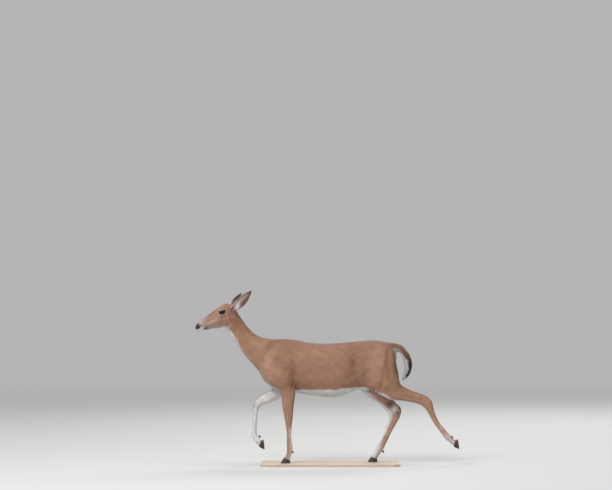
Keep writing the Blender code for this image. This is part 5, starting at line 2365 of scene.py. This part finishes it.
@dataclass
class Horn:
    """A claw or a dewclaw, rounded from its node and kept sharp at the sole."""

    node: str
    levels: int = 2
    crease_angle: float = math.radians(50)
    crease: float = 0.85

    def build(self, material: Material) -> Object:
        """Makes the horn.

        Args:
            material: Its finish.

        Returns:
            The horn.
        """
        obj = copy_nodes([self.node], self.node.replace("hoof", "claw") + "_horn")
        with editing(obj, "EDGE", "DESELECT"):
            bpy.ops.mesh.edges_select_sharp(sharpness=self.crease_angle)
            bpy.ops.transform.edge_crease(value=self.crease)
        round_off = obj.modifiers.new("round", "SUBSURF")
        round_off.levels = self.levels
        round_off.render_levels = self.levels
        settle(obj)
        smooth(obj)
        return hand_in(obj, "hoof_horn", material, (self.node,))


def dress_base(material: Material) -> None:
    """Finishes the base, which is kept as the frame has it.

    Args:
        material: Its wood.
    """
    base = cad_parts["stand_base"]
    base.data.materials.clear()
    base.data.materials.append(material)


# The studio


@dataclass
class Studio:
    """A pale floor that runs into a pale surround, soft lights and the camera."""

    tone: float = 0.46
    floor_size: float = 240.0
    near: float = 5.0
    far: float = 13.0
    lamp_size: float = 4.0
    distance: float = 21.42
    aim: tuple = (-0.168, 1.5225)

    def build(self) -> None:
        """Makes the studio."""
        floor = self.floor()
        lights = [
            self.lamp("key", (-4.0, -6.5, 7.0), 0.7, 700.0),
            self.lamp("back", (3.5, 6.5, 6.5), 0.7, 420.0),
            self.lamp("top", (0.0, -0.5, 7.5), 0.8, 220.0),
        ]
        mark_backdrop(floor, *lights)
        bpy.context.scene.view_settings.view_transform = "Standard"
        self.surround()
        self.camera()

    def floor(self) -> Object:
        """The floor, which takes on the surround's own tone far away.

        Returns:
            The floor.
        """
        bpy.ops.object.select_all(action="DESELECT")
        bpy.ops.mesh.primitive_plane_add(size=self.floor_size)
        floor = bpy.context.view_layer.objects.active
        floor.name = "floor"
        shader = Shader("floor", roughness=0.9, specular=0.1)
        shader.surface.inputs["Base Color"].default_value = (0.52, 0.52, 0.515, 1)
        glow = shader.add("ShaderNodeEmission", {"Color": (self.tone, self.tone, self.tone, 1)})
        place = shader.add("ShaderNodeTexCoord").outputs["Object"]
        reach = shader.add("ShaderNodeVectorMath", {0: place}, operation="LENGTH")
        away = shader.step(reach.outputs["Value"], self.near, self.far)
        inputs = {0: away, 1: shader.surface.outputs[0], 2: glow.outputs[0]}
        mix = shader.add("ShaderNodeMixShader", inputs).outputs[0]
        shader.tree.links.new(mix, shader.tree.nodes["Material Output"].inputs["Surface"])
        floor.data.materials.append(shader.material)
        return floor

    def lamp(self, name: str, place: tuple, height: float, power: float) -> Object:
        """A square soft light.

        Args:
            name: Its name.
            place: Where it hangs.
            height: How high above the middle of the ground it points.
            power: Its power in watts.

        Returns:
            The light's object.
        """
        data = bpy.data.lights.new(name, "AREA")
        data.shape = "SQUARE"
        data.size = self.lamp_size
        data.energy = power
        lamp = linked(name, data)
        lamp.location = place
        way = Vector((0, 0, height)) - Vector(place)
        lamp.rotation_euler = way.to_track_quat("-Z", "Y").to_euler()
        return lamp

    def surround(self) -> None:
        """Even pale light from all round."""
        world = bpy.data.worlds.new("surround")
        bpy.context.scene.world = world
        world.use_nodes = True
        sky = world.node_tree.nodes["Background"]
        sky.inputs["Color"].default_value = (self.tone, self.tone, self.tone, 1)
        sky.inputs["Strength"].default_value = 1.0

    def camera(self) -> None:
        """A long lens far off at the doe's left, held level."""
        data = bpy.data.cameras.new("camera")
        data.lens = 180.0
        data.clip_end = 300.0
        camera = linked("camera", data)
        camera.location = (self.aim[0], -self.distance, self.aim[1] + GROUND)
        camera.rotation_euler = (math.pi / 2, 0.0, 0.0)
        bpy.context.scene.camera = camera


def main() -> None:
    """Builds every piece in order."""
    logging.basicConfig(level=logging.INFO, format="%(message)s")
    grain = hair_grain_group()
    markings = Markings(Palette())
    eyes = (Eye(Side.LEFT), Eye(Side.RIGHT))
    skin = Skin(eyes, markings).build()
    coats = {
        "coat": HairFinish("coat").build(grain),
        "leg_coat": HairFinish("leg coat", root=0.88).build(grain),
        "ear_coat": HairFinish("ear coat", root=0.9).build(grain),
        "tail_coat": HairFinish("tail coat", contrast=0.45).build(grain),
    }
    Coat(skin, markings).build(coats)
    skin.dress(SkinFinish().build(grain))
    rim = LeatherFinish("lid rim", (0.012, 0.008, 0.007), 1500.0, 0.0001, 0.55, 0.1).build()
    leather = LeatherFinish("nose leather", (0.014, 0.012, 0.013), 950.0, 0.0004, 0.38, 0.35)
    leather = leather.build()
    bristle = LeatherFinish("bristles", (0.02, 0.014, 0.012), 400.0, 0.0, 0.5, 0.0).build()
    for eye in eyes:
        Eyeball(eye).build()
        LidRim(eye).build(rim)
        lashes(eye).build(bristle, "eye")
    whiskers().build(bristle, "coat")
    Nose().build(leather)
    NoseSurround().build(skin.obj, leather)
    LipLine().build(skin.obj, rim)
    horn = HornFinish().build()
    for leg in LEGS:
        for word in ("left", "right"):
            Horn(f"hoof_{leg}_{word}").build(horn)
            Horn(f"dewclaw_{leg}_{word}", crease_angle=math.radians(85)).build(horn)
    dress_base(WoodFinish().build())
    Studio().build()


if __name__ == "__main__":
    main()
    [[list(corner) for corner in box] for box in (CAD_BOX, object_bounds())]
